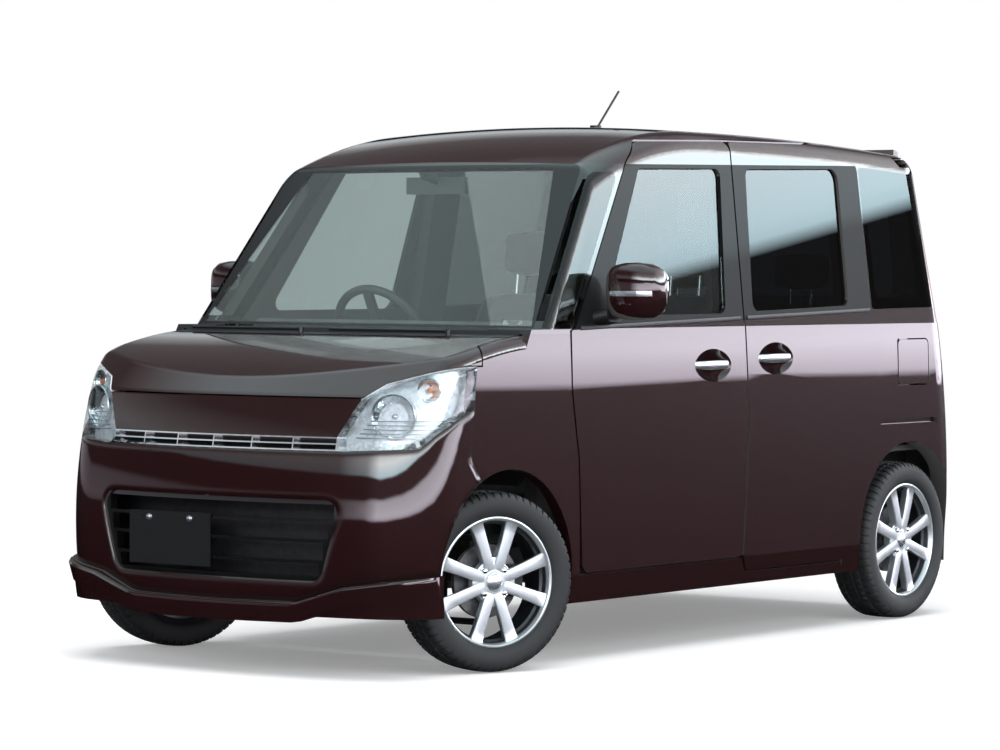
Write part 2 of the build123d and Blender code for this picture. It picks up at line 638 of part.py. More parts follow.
front_shell = (front_wall & nose_zone) - bonnet_zone(GAP)
lamp_zone = seen_from_front(rounded(LAMP_FRONT), -1800, -1200) & seen_from_side(rounded(LAMP_SIDE), 300, OUT)
lamp_zones = both(lamp_zone)
half_lip = rounded(LIP_LINE)
lip_zone = seen_from_front(half_lip + mirror(half_lip, Plane.YZ), -1800, -1200)
grille_zone = seen_from_front(rounded(GRILLE_OUTLINE), -1800, -1450)
nose_panel_zone = seen_from_front(rounded(NOSE_OUTLINE), -1800, -1450)
opening_zone = seen_from_front(rounded(OPENING_OUTLINE), -1800, -1450)


def make_upper_grille():
    bar = (front_shell & grille_zone) - lamp_zones
    low, high = GRILLE_OUTLINE[0][1], GRILLE_OUTLINE[2][1]
    pitch = (high - low - GRILLE_BAR) / GRILLE_ROWS
    for row in range(GRILLE_ROWS):
        z = low + GRILLE_BAR + row * pitch
        for column in range(GRILLE_COLUMNS):
            x = (column - GRILLE_COLUMNS / 2) * GRILLE_PITCH + GRILLE_BAR / 2
            cell = (x, x + GRILLE_PITCH - GRILLE_BAR)
            bar = bar - block(cell, (-1800, -1500), (z, z + pitch - GRILLE_BAR))
    return bar


def make_lower_grille():
    panel = (hull[GLASS_SET] - hull[FRONT_WALL]) & opening_zone
    low, high = OPENING_OUTLINE[0], OPENING_OUTLINE[2]
    lean = (high[0] + low[0]) / (high[1] - low[1])
    floors = [low[1] + SLAT_RIM] + [z + SLAT_T / 2 for z in SLAT_HEIGHTS]
    tops = [z - SLAT_T / 2 for z in SLAT_HEIGHTS] + [high[1] - SLAT_RIM]
    for z0, z1 in zip(floors, tops):
        half = -low[0] + lean * (z0 - low[1]) - SLAT_RIM
        panel = panel - block((-half, half), (-1800, -1500), (z0, z1))
    return panel


def make_front_plate():
    x, z = PLATE_CENTRE
    front = PLATE_Y
    sheet = block((x - 165, x + 165), (front, front + 4), (z - 82.5, z + 82.5))
    bracket = block((x - 120, x + 120), (front + 4, front + 70), (z - 50, z + 50)) - hull[GLASS_SET]
    plate = sheet + bracket
    for side in (-1, 1):
        plate = plate - rod((x + side * 105, front - 1, z + 66), (x + side * 105, front + 5, z + 66), 3.5)
    return plate


def make_rear_plate():
    sheet = block((-165, 165), (1500, REAR_PLATE_Y), (REAR_PLATE_Z - 82.5, REAR_PLATE_Z + 82.5)) - hull[0]
    return sheet


def make_spoiler():
    """Blade over the tailgate's top edge."""
    profile = rounded([(TAILGATE_AXIS[0] + 60, 1690, 0), (1600, 1664, 0), (1652, 1652, 0), (1654, 1634, 0),
                       (1560, 1636, 0), (1500, 1630, 0)])
    plan = rounded([(-535, 1400, 0), (535, 1400, 0), (545, 1600, 90), (300, 1665, 500), (-300, 1665, 500),
                    (-545, 1600, 90)])
    blade = seen_from_side(profile, -OUT, OUT) & seen_from_above(plan, 1500, 1850)
    return blade - hull[0]


def make_cowl():
    return (wall & cowl_zone) - bonnet_sweep


def make_floor():
    inside = hull[WALL]
    low = FLOOR_Z - FLOOR_T
    main = block((-OUT, OUT), (-800, DECK_Y), (low, FLOOR_Z))
    riser = block((-OUT, OUT), (DECK_Y - 30, DECK_Y), (low, DECK_Z))
    deck = block((-OUT, OUT), (DECK_Y - 30, 1640), (DECK_Z - 30, DECK_Z))
    firewall = block((-OUT, OUT), (-880, DASH_Y), (low, 1020))
    toe = block((-OUT, OUT), (-880, -780), (low, FLOOR_Z))
    pan = (main + riser + deck + firewall + toe) & inside
    wells = block((525, OUT), (DECK_Y - 40, 1700), (100, 600))
    lids = block((525, OUT), (DECK_Y - 30, 1640), (600, WELL_Z))
    lids = lids + block((510, 525), (DECK_Y - 30, 1640), (DECK_Z - 30, WELL_Z))
    pan = pan - both(wells) + (both(lids) & inside)
    front_wells = block((400, OUT), (-1000, -800), (100, 640))
    sill = block((560, OUT), (-800, 900), (190, SILL_Z)) & inside
    return pan - both(front_wells) + both(sill)


def make_tyre():
    half = TYRE_W / 2
    tread = half - 18
    section = Polygon((RIM_R, -half + 12), (RIM_R + 22, -half), (TYRE_R - 30, -half + 2), (TYRE_R - 8, -tread - 4),
                      (TYRE_R, -tread + 8), (TYRE_R, tread - 8), (TYRE_R - 8, tread + 4), (TYRE_R - 30, half - 2),
                      (RIM_R + 22, half), (RIM_R, half - 12), align=None)
    ring = Plane(origin=(0, 0, 0), x_dir=(0, 0, 1), z_dir=(0, -1, 0)) * section
    return revolve(ring, Axis((0, 0, 0), (1, 0, 0)), 360)


def make_rim():
    """Alloy wheel with its hub bell and brake disc, the outer face at +X."""
    half = RIM_W / 2
    barrel = rod((-half, 0, 0), (half, 0, 0), RIM_R) - rod((-half - 1, 0, 0), (half + 1, 0, 0), RIM_BARREL_R)
    hub = rod((5, 0, 0), (62, 0, 0), 62) - rod((5, 0, 0), (40, 0, 0), SPINDLE_R + RUN)
    wheel = barrel + hub
    outer = RIM_BARREL_R + 4
    arm = seen_from_side(rounded([(-20, 40, 0), (20, 40, 0), (17, outer, 0), (-17, outer, 0)]), 30, 62)
    for index in range(SPOKES):
        pair, side = index // 2, 2 * (index % 2) - 1
        wheel = wheel + Rot(pair * 720 / SPOKES + side * SPOKE_SPREAD, 0, 0) * arm
    disc = rod((-12, 0, 0), (8, 0, 0), DISC_R) - rod((-20, 0, 0), (20, 0, 0), SPINDLE_R + RUN)
    wheel = wheel + disc
    for index in range(STUDS):
        angle = radians(45 + index * 360 / STUDS)
        y, z = STUD_CIRCLE_R * cos(angle), STUD_CIRCLE_R * sin(angle)
        wheel = wheel - rod((50, y, z), (70, y, z), 10)
    return wheel


def make_knuckle():
    """Left knuckle about the wheel centre: upright, spindle and caliper."""
    pin = KINGPIN_X - TRACK_HALF
    upright = block((pin - 18, pin + 6), (-22, 22), (-105, 105))
    spindle = rod((pin, 0, 0), (38, 0, 0), SPINDLE_R)
    caliper = block((-40, 22), (70, 125), (-50, 50)) - rod((-17, 0, 0), (13, 0, 0), DISC_R + 4)
    caliper = caliper + block((-40, -22), (10, 110), (-25, 25))
    knuckle = upright + spindle + caliper
    for low, high in ((-140, -80), (80, 140)):
        knuckle = knuckle - rod((pin, 0, low), (pin, 0, high), KINGPIN_R + RUN)
    return knuckle


def make_subframe():
    """Cross member, strut legs and arms that hold the steered knuckles."""
    beam = block((-430, 430), (FRONT_AXLE_Y - 60, FRONT_AXLE_Y + 60), (145, 190))
    arms = []
    for sign in (1, -1):
        bottom, top = TYRE_R + sign * 122, TYRE_R + sign * 140
        z = (min(bottom, top), max(bottom, top))
        arms.append(block((430, KINGPIN_X + 12), (FRONT_AXLE_Y - 14, FRONT_AXLE_Y + 14), z))
        pin_in, pin_out = TYRE_R + sign * 84, TYRE_R + sign * 128
        arms.append(rod((KINGPIN_X, FRONT_AXLE_Y, pin_in), (KINGPIN_X, FRONT_AXLE_Y, pin_out), KINGPIN_R))
    leg = block((430, 470), (FRONT_AXLE_Y - 30, FRONT_AXLE_Y + 30), (135, 700))
    side = leg + arms[0] + arms[1] + arms[2] + arms[3]
    rail = block((395, 430), (-1560, -880), (560, 640))
    return beam + side + mirror(side, Plane.YZ) + rail + mirror(rail, Plane.YZ)


def make_rear_axle():
    beam = rod((-560, REAR_AXLE_Y, TYRE_R), (560, REAR_AXLE_Y, TYRE_R), 33)
    axle = beam
    for side in (1, -1):
        spindle_end = side * (TRACK_HALF + 38)
        arm, spring_y = side * 450, REAR_AXLE_Y + 20
        axle = axle + rod((side * 500, REAR_AXLE_Y, TYRE_R), (spindle_end, REAR_AXLE_Y, TYRE_R), SPINDLE_R)
        axle = axle + rod((arm, REAR_AXLE_Y, TYRE_R), (arm, DECK_Y - 15, TYRE_R + 60), 24)
        axle = axle + rod((arm, spring_y, TYRE_R), (arm, spring_y, DECK_Z - 30), 30)
    axle = axle - block((-OUT, OUT), (DECK_Y - 60, DECK_Y), (0, 600))
    return axle - block((-OUT, OUT), (900, 1700), (DECK_Z - 30, 700))


def place_wheel(shape, x, y, turn, side):
    if side < 0:
        shape = mirror(shape, Plane.YZ)
    if turn:
        pivot = Pos(side * KINGPIN_X, y, TYRE_R) * Rot(0, 0, turn)
        return pivot * Pos(side * (TRACK_HALF - KINGPIN_X), 0, 0) * shape
    return Pos(side * x, y, TYRE_R) * shape


def make_front_seats():
    cushion = block((SEAT_X - 250, SEAT_X + 250), (-120, 400), (FLOOR_Z + 150, FLOOR_Z + 350))
    base = block((SEAT_X - 200, SEAT_X + 200), (-60, 340), (FLOOR_Z, FLOOR_Z + 150))
    back = rounded([(300, 640, 0), (420, 620, 0), (500, 1180, 40), (400, 1190, 40)])
    head = rounded([(405, 1215, 30), (500, 1210, 30), (515, 1385, 35), (430, 1395, 35)])
    seat = cushion + base + seen_from_side(back, SEAT_X - 240, SEAT_X + 240)
    seat = seat + seen_from_side(head, SEAT_X - 130, SEAT_X + 130)
    for x in (SEAT_X - 60, SEAT_X + 60):
        seat = seat + rod((x, 448, 1170), (x, 462, 1260), 7)
    return both(seat)


def make_rear_seat():
    cushion = block((-490, 490), (860, 1260), (DECK_Z, DECK_Z + 190))
    back = rounded([(1210, 600, 0), (1310, 590, 0), (1380, 1140, 40), (1290, 1150, 40)])
    head = rounded([(1292, 1170, 25), (1372, 1165, 25), (1385, 1310, 30), (1310, 1318, 30)])
    seat = cushion + seen_from_side(back, -500, 500)
    for x in (-250, 250):
        seat = seat + seen_from_side(head, x - 125, x + 125) + rod((x, 1335, 1120), (x, 1342, 1200), 8)
    return seat


def make_dashboard():
    profile = rounded([(DASH_Y, 560, 0), (-700, 620, 40), (-640, 800, 40), (-660, 1010, 60),
                       (-760, 1090, 60), (DASH_Y, 1040, 0)])
    panel = seen_from_side(profile, -OUT, OUT) & hull[FRAME_WALL]
    panel = panel & block((-560, 560), (DASH_Y, -600), (0, 1200))
    column_end = Vector(*STEER_HUB) - STEER_AXIS * 60
    column_start = Vector(*STEER_HUB) - STEER_AXIS * 330
    return panel + rod(tuple(column_start), tuple(column_end), 34)


def make_steering_wheel():
    frame = Plane(origin=STEER_HUB, z_dir=STEER_AXIS, x_dir=(1, 0, 0))
    wheel = Torus(STEER_R, 15) + Pos(0, 0, -12) * Cylinder(72, 50)
    for angle in (0, 180, 270):
        wheel = wheel + Rot(0, 0, angle) * Pos(110, 0, -6) * Box(140, 34, 16)
    stub = Pos(0, 0, -59.7) * Cylinder(20, 60, align=(Align.CENTER, Align.CENTER, Align.MIN))
    return frame * (wheel + stub)


def make_mirror():
    shell = fillet(block((740, 925), (-648, -500), (1088, 1272)).edges(), 44)
    foot = block((690, 800), (-640, -560), (1068, 1120))
    return (shell + foot) - hull[0]


def make_wipers():
    arms = []
    for x0, x1 in WIPER_SPANS:
        pivot = rod((x0, -1040, 1030), (x0, -1036, 1056), 9)
        arms.append(pivot + rod((x0, -1038, 1052), (x1, -1026, 1052), 5))
    return Compound(children=[s for arm in arms for s in (arm - hull[0]).solids()])


def make_antenna():
    y, tip = ANTENNA_Y, ANTENNA_TIP
    puck = rod((0, y, 1700), (0, y, 1752), 20)
    return (puck + rod((0, y, 1735), (0, *tip), 4)) - hull[0]


def make_inner_mirror():
    x, y, z = INNER_MIRROR
    glass = block((x - 122, x + 122), (y - 10, y + 10), (z - 28, z + 28))
    stem = rod((x, y - 5, z + 10), (x, y - 220, z + 60), 8) & hull[GLASS_SET]
    return glass + stem


def make_exhaust():
    pipe = rod((140, -760, 222), (140, 1480, 222), 22)
    box = block((-60, 340), (1400, 1600), (235, 340))
    tail = rod((250, 1590, 262), (250, 1628, 256), 20)
    exhaust = pipe + box + tail + block((100, 180), (1480, 1520), (330, DECK_Z - 30))
    for y in (-300, 500):
        exhaust = exhaust + block((120, 160), (y, y + 40), (230, FLOOR_Z - FLOOR_T))
    return exhaust


door = make_front_door()
tailgate = make_tailgate()
middle_pillar, rear_pillar, post = make_side_frames()
roof = make_roof()
nodes["floor"] = make_floor()
pillars = [s for p in (middle_pillar, rear_pillar, post) for s in p.solids()]
nodes["side_frames"] = both(Compound(children=pillars))
nodes["roof"] = roof
nodes["front_pillars"] = both(make_front_pillars())
nodes["windscreen"] = screen_glass
cowl = make_cowl()
nodes["cowl"] = cowl
nodes["fenders"] = both(make_fender())
nodes["bonnet"] = make_bonnet()
nodes["headlamps"] = both((front_shell & lamp_zone))
nodes["nose_panel"] = (front_shell & nose_panel_zone) - lamp_zones
nodes["upper_grille"] = make_upper_grille()
lip_shell = (lower_body(-LIP_OUT) - hull[FRONT_WALL]) & nose_zone
nodes["air_dam"] = lip_shell & lip_zone
front_bumper = front_shell - lip_zone - lamp_zones - grille_zone - nose_panel_zone
nodes["front_bumper"] = front_bumper - opening_zone
nodes["lower_grille"] = make_lower_grille()
nodes["front_plate"] = make_front_plate()
nodes["side_skirts"] = both(make_skirt())
nodes["quarter_panels"] = make_quarters()
nodes["fuel_flap"] = make_fuel_flap()
nodes["quarter_glass"] = both(quarter_glass)
nodes["front_side_glass"] = both(front_side_glass)
nodes["front_door_left"] = door
nodes["front_door_right"] = right_of(door)
door_glass = pane(left_side(DOOR_WINDOW))
nodes["front_door_glass_left"] = door_glass
nodes["front_door_glass_right"] = right_of(door_glass)
nodes["mirror_left"] = make_mirror()
nodes["mirror_right"] = right_of(make_mirror())
slider = wall & left_side(SLIDER_OUTLINE, holes=[rounded(SLIDER_WINDOW)])
nodes["sliding_doors"] = both(slider - handle_bowl(SLIDER_HANDLE))
nodes["sliding_door_glass"] = both(pane(left_side(SLIDER_WINDOW)))
nodes["tailgate"] = tailgate
nodes["tailgate_glass"] = tailgate_glass
lid_hinges = Compound(children=[make_bonnet_hinges(cowl), make_tailgate_hinges(roof)])
nodes["hinges"] = Compound(children=list(make_door_hinges().solids()) + list(both(lid_hinges).solids()))
nodes["spoiler"] = make_spoiler()
nodes["rear_plate"] = make_rear_plate()
nodes["tail_lamps"] = both(make_tail_lamp())
nodes["rear_bumper"] = make_rear_bumper()
nodes["engine"] = block((-300, 320), (-1480, -960), (190, 760))
nodes["front_subframe"] = make_subframe()
nodes["rear_axle"] = make_rear_axle()
nodes["exhaust"] = make_exhaust()
nodes["front_seats"] = make_front_seats()
nodes["rear_seat"] = make_rear_seat()
nodes["dashboard"] = make_dashboard()
nodes["steering_wheel"] = make_steering_wheel()
nodes["wipers"] = make_wipers()
nodes["antenna"] = make_antenna()
nodes["inner_mirror"] = make_inner_mirror()
tyre, rim, knuckle = make_tyre(), make_rim(), make_knuckle()
for end, y, turn in (("front", FRONT_AXLE_Y, STEER_REST), ("rear", REAR_AXLE_Y, 0)):
    for hand, side in (("left", 1), ("right", -1)):
        nodes[f"tyre_{end}_{hand}"] = place_wheel(tyre, TRACK_HALF, y, turn, side)
        nodes[f"rim_{end}_{hand}"] = place_wheel(rim, TRACK_HALF, y, turn, side)
        if turn:
            nodes[f"knuckle_{hand}"] = place_wheel(knuckle, TRACK_HALF, y, turn, side)

os.makedirs("parts", exist_ok=True)
for name, shape in nodes.items():
    print(name, len(shape.solids()), shape.is_valid, round(shape.volume / 1e6, 2))
    export_step(shape, f"parts/{name}.step")
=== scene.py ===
"""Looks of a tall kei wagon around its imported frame, in metres in the frame of the solids."""
from math import cos, exp, pi, radians, sin, tau

import bmesh
import bpy
from mathutils import Matrix, Vector
from mathutils.bvhtree import BVHTree


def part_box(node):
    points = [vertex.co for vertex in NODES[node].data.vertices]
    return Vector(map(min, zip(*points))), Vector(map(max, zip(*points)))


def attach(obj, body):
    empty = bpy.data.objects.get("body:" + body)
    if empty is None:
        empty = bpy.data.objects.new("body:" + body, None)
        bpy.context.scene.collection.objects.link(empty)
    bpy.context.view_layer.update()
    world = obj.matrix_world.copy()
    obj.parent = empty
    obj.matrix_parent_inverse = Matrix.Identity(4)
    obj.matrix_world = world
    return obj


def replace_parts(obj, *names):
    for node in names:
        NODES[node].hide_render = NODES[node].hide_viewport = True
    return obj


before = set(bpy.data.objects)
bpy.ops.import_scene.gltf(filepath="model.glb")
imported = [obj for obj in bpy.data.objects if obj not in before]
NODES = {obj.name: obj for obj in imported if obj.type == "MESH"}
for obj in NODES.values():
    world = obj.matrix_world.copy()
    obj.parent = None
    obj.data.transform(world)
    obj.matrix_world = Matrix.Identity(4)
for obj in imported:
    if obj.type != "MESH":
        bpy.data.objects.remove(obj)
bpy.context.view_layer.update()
scene = bpy.context.scene
SIDES = ((1, "left"), (-1, "right"))

# Colours, linear
MAROON = (0.0185, 0.0048, 0.0054)
BLACK = (0.0085, 0.0088, 0.0095)
RUBBER = (0.016, 0.0175, 0.0185)
SILVER = (0.60, 0.645, 0.675)
BARREL = (0.060, 0.066, 0.074)
REFLECTOR = (0.72, 0.75, 0.78)
CHROME_TINT = (0.80, 0.82, 0.84)
IRON = (0.16, 0.16, 0.165)
SHADE = (0.022, 0.022, 0.024)
CLOTH = (0.060, 0.057, 0.056)
CABIN = (0.034, 0.033, 0.034)
LINING = (0.085, 0.083, 0.080)
AMBER = (0.75, 0.20, 0.02)
LAMP_RED = (0.5, 0.012, 0.02)
RIB_RED = (0.34, 0.008, 0.014)
LAMP_CLEAR = (0.62, 0.62, 0.64)
LAMP_AMBER = (0.72, 0.34, 0.10)
DOOR_TINT = (0.30, 0.335, 0.335)
SCREEN_TINT = (0.80, 0.92, 0.90)
PRIVACY_TINT = (0.045, 0.05, 0.055)
COVER_TINT = (0.94, 0.96, 0.97)
COVER_BASE = (0.95, 0.97, 1.0)
FLOOR_TINT = (0.90, 0.905, 0.91)
DAYLIGHT = (0.93, 0.96, 1.0)
WHITE = (1, 1, 1)

# Camera of the photograph
CAMERA_AT = (7.86841, -10.85735, 1.25727)
CAMERA_YAW = -0.635
CAMERA_PITCH = -0.0278
CAMERA_ROLL = 0.0048
CAMERA_LENS = 140.745
CAMERA_FAR = 200

# Lines along the body side as (height at y = 0, rise per metre)
BELT = (1.077, 0.0265)
WINDOW_TOP = (1.599, 0.019)

# Lacquer: flake, the height that tells out from in, and the film at the windows
FLAKE_SCALE = 2600.0
FLAKE_ROUGH = (0.28, 0.42)
BODY_MIDDLE_Z = 0.7
LENGTH_SHARE = 0.4
INSIDE_LIMIT = -0.06
LINING_ROUGH = 0.85
FILM_GLOSS = 0.06
NOSE_ROUND = 0.03

# Printed edges of glass as (foot, head) and, for the screen, (reach at z = 0, loss per metre up)
SCREEN_EDGE = (1.070, 1.574, 1.046, 0.345)
PRIVACY_EDGE = (1.0, 1.9)

# Heights of the clear band in the rear lamp, and where its amber cell starts
CLEAR_BAND = (1.115, 1.215)
AMBER_FROM = 1.168

# Wheels
AXLES = (("front", -1.1185, radians(-22)), ("rear", 1.3065, 0.0))
TYRE_R = 0.281
TRACK_HALF = 0.646
KINGPIN_X = 0.620


def put(tree, kind, **values):
    """A shader node with its plain settings."""
    node = tree.nodes.new(kind)
    for key, value in values.items():
        setattr(node, key, value)
    return node


def material(name, colour, rough, metal=0.0, **sockets):
    """A Principled material; further sockets by name with spaces as underscores."""
    mat = bpy.data.materials.new(name)
    mat.use_nodes = True
    shader = mat.node_tree.nodes["Principled BSDF"]
    shader.inputs["Base Color"].default_value = (*colour, 1)
    shader.inputs["Roughness"].default_value = rough
    shader.inputs["Metallic"].default_value = metal
    for key, value in sockets.items():
        shader.inputs[key.replace("_", " ")].default_value = value
    return mat


def noise_field(tree, scale, detail):
    """Noise fixed to the piece."""
    where = put(tree, "ShaderNodeTexCoord")
    noise = put(tree, "ShaderNodeTexNoise")
    noise.inputs["Scale"].default_value = scale
    noise.inputs["Detail"].default_value = detail
    tree.links.new(where.outputs["Object"], noise.inputs["Vector"])
    return noise.outputs["Fac"]


def tinted(tree, fac, colour, spread):
    """A colour made darker and lighter by a share of itself."""
    tint = put(tree, "ShaderNodeValToRGB")
    low, high = tint.color_ramp.elements
    low.color = (*[c * (1 - spread) for c in colour], 1)
    high.color = (*[min(1, c * (1 + spread)) for c in colour], 1)
    low.position, high.position = 0.3, 0.7
    tree.links.new(fac, tint.inputs["Fac"])
    return tint.outputs["Color"]


def spanned(tree, value, to, source=(0, 1)):
    """A value carried from one range to another."""
    span = put(tree, "ShaderNodeMapRange")
    span.inputs["From Min"].default_value, span.inputs["From Max"].default_value = source
    span.inputs["To Min"].default_value, span.inputs["To Max"].default_value = to
    tree.links.new(value, span.inputs["Value"])
    return span.outputs["Result"]


def relief(tree, height, strength, target, distance=None):
    """Fine grain on a node's normal."""
    grain = put(tree, "ShaderNodeBump")
    grain.inputs["Strength"].default_value = strength
    if distance is not None:
        grain.inputs["Distance"].default_value = distance
    tree.links.new(height, grain.inputs["Height"])
    tree.links.new(grain.outputs["Normal"], target.inputs["Normal"])


def vary(mat, colour, spread, scale, rough, bump=0.0):
    """Uneven colour, roughness and fine relief from one noise field."""
    tree = mat.node_tree
    shader = tree.nodes["Principled BSDF"]
    fac = noise_field(tree, scale, 6.0)
    tree.links.new(tinted(tree, fac, colour, spread), shader.inputs["Base Color"])
    tree.links.new(spanned(tree, fac, rough), shader.inputs["Roughness"])
    if bump:
        relief(tree, fac, 0.35, shader, bump)
    return mat


def calc(tree, kind, a, b):
    """One Math node on sockets or plain numbers."""
    node = put(tree, "ShaderNodeMath", operation=kind)
    for socket, value in zip(node.inputs, (a, b)):
        if isinstance(value, (int, float)):
            socket.default_value = value
        else:
            tree.links.new(value, socket)
    return node.outputs["Value"]


def place(tree):
    """Sockets x, y, z of the point and of the normal, in the frame of the car."""
    where = put(tree, "ShaderNodeTexCoord")
    found = []
    for output in ("Object", "Normal"):
        parts = put(tree, "ShaderNodeSeparateXYZ")
        tree.links.new(where.outputs[output], parts.inputs["Vector"])
        found.extend(parts.outputs)
    return found


def above(tree, y, z, line):
    """One where a point is over a line along the body side."""
    height = calc(tree, "MULTIPLY_ADD", y, line[1])
    height.node.inputs[2].default_value = line[0]
    return calc(tree, "GREATER_THAN", z, height)


def mixed(tree, fac, first, second):
    """Blend of two colours, each a socket or a plain colour."""
    blend = put(tree, "ShaderNodeMix", data_type="RGBA")
    tree.links.new(fac, blend.inputs["Factor"])
    sockets = [s for s in blend.inputs if s.type == "RGBA"]
    for socket, value in zip(sockets, (first, second)):
        if isinstance(value, tuple):
            socket.default_value = (*value, 1)
        else:
            tree.links.new(value, socket)
    return [s for s in blend.outputs if s.type == "RGBA"][0]


def picked(tree, fac, first, second, out):
    """Mix two shaders into the output of a material or world."""
    pick = put(tree, "ShaderNodeMixShader")
    tree.links.new(fac, pick.inputs["Fac"])
    tree.links.new(first, pick.inputs[1])
    tree.links.new(second, pick.inputs[2])
    tree.links.new(pick.outputs["Shader"], out)


def see_through(tree, tint):
    """Plain transparent shader."""
    through = put(tree, "ShaderNodeBsdfTransparent")
    through.inputs["Color"].default_value = (*tint, 1)
    return through.outputs["BSDF"]


def lacquer(name, banded=False, round_edge=0.0):
    """Dark maroon flake under a clear coat, black film at the windows, lining on the inner face."""
    mat = material(name, MAROON, 0.34, Coat_Roughness=0.008, Coat_IOR=1.62, Specular_IOR_Level=0.06)
    tree = mat.node_tree
    shader = tree.nodes["Principled BSDF"]
    x, y, z, nx, ny, nz = place(tree)
    flake = noise_field(tree, FLAKE_SCALE, 1.0)
    colour = tinted(tree, flake, MAROON, 0.18)
    rough = spanned(tree, flake, FLAKE_ROUGH)
    along = calc(tree, "MULTIPLY", calc(tree, "MULTIPLY", ny, y), LENGTH_SHARE)
    upward = calc(tree, "MULTIPLY", nz, calc(tree, "SUBTRACT", z, BODY_MIDDLE_Z))
    outward = calc(tree, "ADD", calc(tree, "MULTIPLY", nx, x), along)
    outward = calc(tree, "ADD", outward, upward)
    inside = calc(tree, "LESS_THAN", outward, INSIDE_LIMIT)
    gloss = calc(tree, "SUBTRACT", 1, inside)
    if banded:
        under = calc(tree, "SUBTRACT", 1, above(tree, y, z, WINDOW_TOP))
        film = calc(tree, "MULTIPLY", above(tree, y, z, BELT), under)
        colour = mixed(tree, film, colour, BLACK)
        gloss = calc(tree, "MULTIPLY", gloss, spanned(tree, film, (1.0, FILM_GLOSS)))
    lining = tinted(tree, noise_field(tree, 500.0, 5.0), LINING, 0.15)
    rough = calc(tree, "MAXIMUM", rough, calc(tree, "MULTIPLY", inside, LINING_ROUGH))
    tree.links.new(mixed(tree, inside, colour, lining), shader.inputs["Base Color"])
    tree.links.new(rough, shader.inputs["Roughness"])
    tree.links.new(gloss, shader.inputs["Coat Weight"])
    if round_edge:
        soft = put(tree, "ShaderNodeBevel", samples=8)
        soft.inputs["Radius"].default_value = round_edge
        tree.links.new(soft.outputs["Normal"], shader.inputs["Normal"])
        tree.links.new(soft.outputs["Normal"], shader.inputs["Coat Normal"])
    return mat


def glass(name, tint, edges=None):
    """Clear pane that lets light through, with a black printed edge where one is given."""
    mat = material(name, tint, 0.0, Transmission_Weight=1.0, IOR=1.45)
    tree = mat.node_tree
    shader = tree.nodes["Principled BSDF"]
    out = tree.nodes["Material Output"].inputs["Surface"]
    haze = noise_field(tree, 3.0, 3.0)
    tree.links.new(spanned(tree, haze, (0.0, 0.002)), shader.inputs["Roughness"])
    path = put(tree, "ShaderNodeLightPath")
    picked(tree, path.outputs["Is Shadow Ray"], shader.outputs["BSDF"], see_through(tree, tint), out)
    if edges:
        x, y, z = place(tree)[:3]
        foot = calc(tree, "LESS_THAN", z, edges[0])
        edge = calc(tree, "MAXIMUM", foot, calc(tree, "GREATER_THAN", z, edges[1]))
        if len(edges) > 2:
            reach = calc(tree, "ADD", calc(tree, "ABSOLUTE", x, 0), calc(tree, "MULTIPLY", z, edges[3]))
            edge = calc(tree, "MAXIMUM", edge, calc(tree, "GREATER_THAN", reach, edges[2]))
        tree.links.new(mixed(tree, edge, tint, BLACK), shader.inputs["Base Color"])
        tree.links.new(calc(tree, "SUBTRACT", 1, edge), shader.inputs["Transmission Weight"])
    return mat


def clear_cover(name):
    """Thin clear plastic: what is behind shows straight through, with a sharp gloss."""
    mat = material(name, COVER_BASE, 0.02)
    tree = mat.node_tree
    out = tree.nodes["Material Output"].inputs["Surface"]
    shine = put(tree, "ShaderNodeLayerWeight")
    shine.inputs["Blend"].default_value = 0.5
    relief(tree, noise_field(tree, 9.0, 2.0), 0.04, shine)
    gloss = put(tree, "ShaderNodeBsdfGlossy")
    gloss.inputs["Roughness"].default_value = 0.02
    share = spanned(tree, calc(tree, "POWER", shine.outputs["Facing"], 5.0), (0.04, 0.6))
    picked(tree, share, see_through(tree, COVER_TINT), gloss.outputs["BSDF"], out)
    return mat


def lamp_bands(name):
    """Rear lamp: red above and below a clear band with an amber cell, over a ribbed reflector."""
    mat = material(name, LAMP_RED, 0.1, Coat_Weight=1.0, Coat_Roughness=0.03)
    tree = mat.node_tree
    shader = tree.nodes["Principled BSDF"]
    z = place(tree)[2]
    over = calc(tree, "GREATER_THAN", z, CLEAR_BAND[0])
    clear = calc(tree, "MULTIPLY", over, calc(tree, "LESS_THAN", z, CLEAR_BAND[1]))
    amber = calc(tree, "MULTIPLY", clear, calc(tree, "GREATER_THAN", z, AMBER_FROM))
    ribs = put(tree, "ShaderNodeTexWave", wave_type="BANDS", bands_direction="Z")
    ribs.inputs["Scale"].default_value = 26.0
    where = put(tree, "ShaderNodeTexCoord")
    tree.links.new(where.outputs["Object"], ribs.inputs["Vector"])
    colour = mixed(tree, clear, tinted(tree, ribs.outputs["Fac"], RIB_RED, 0.45), LAMP_CLEAR)
    colour = mixed(tree, amber, colour, LAMP_AMBER)
    tree.links.new(colour, shader.inputs["Base Color"])
    relief(tree, ribs.outputs["Fac"], 0.5, shader, 0.002)
    return mat


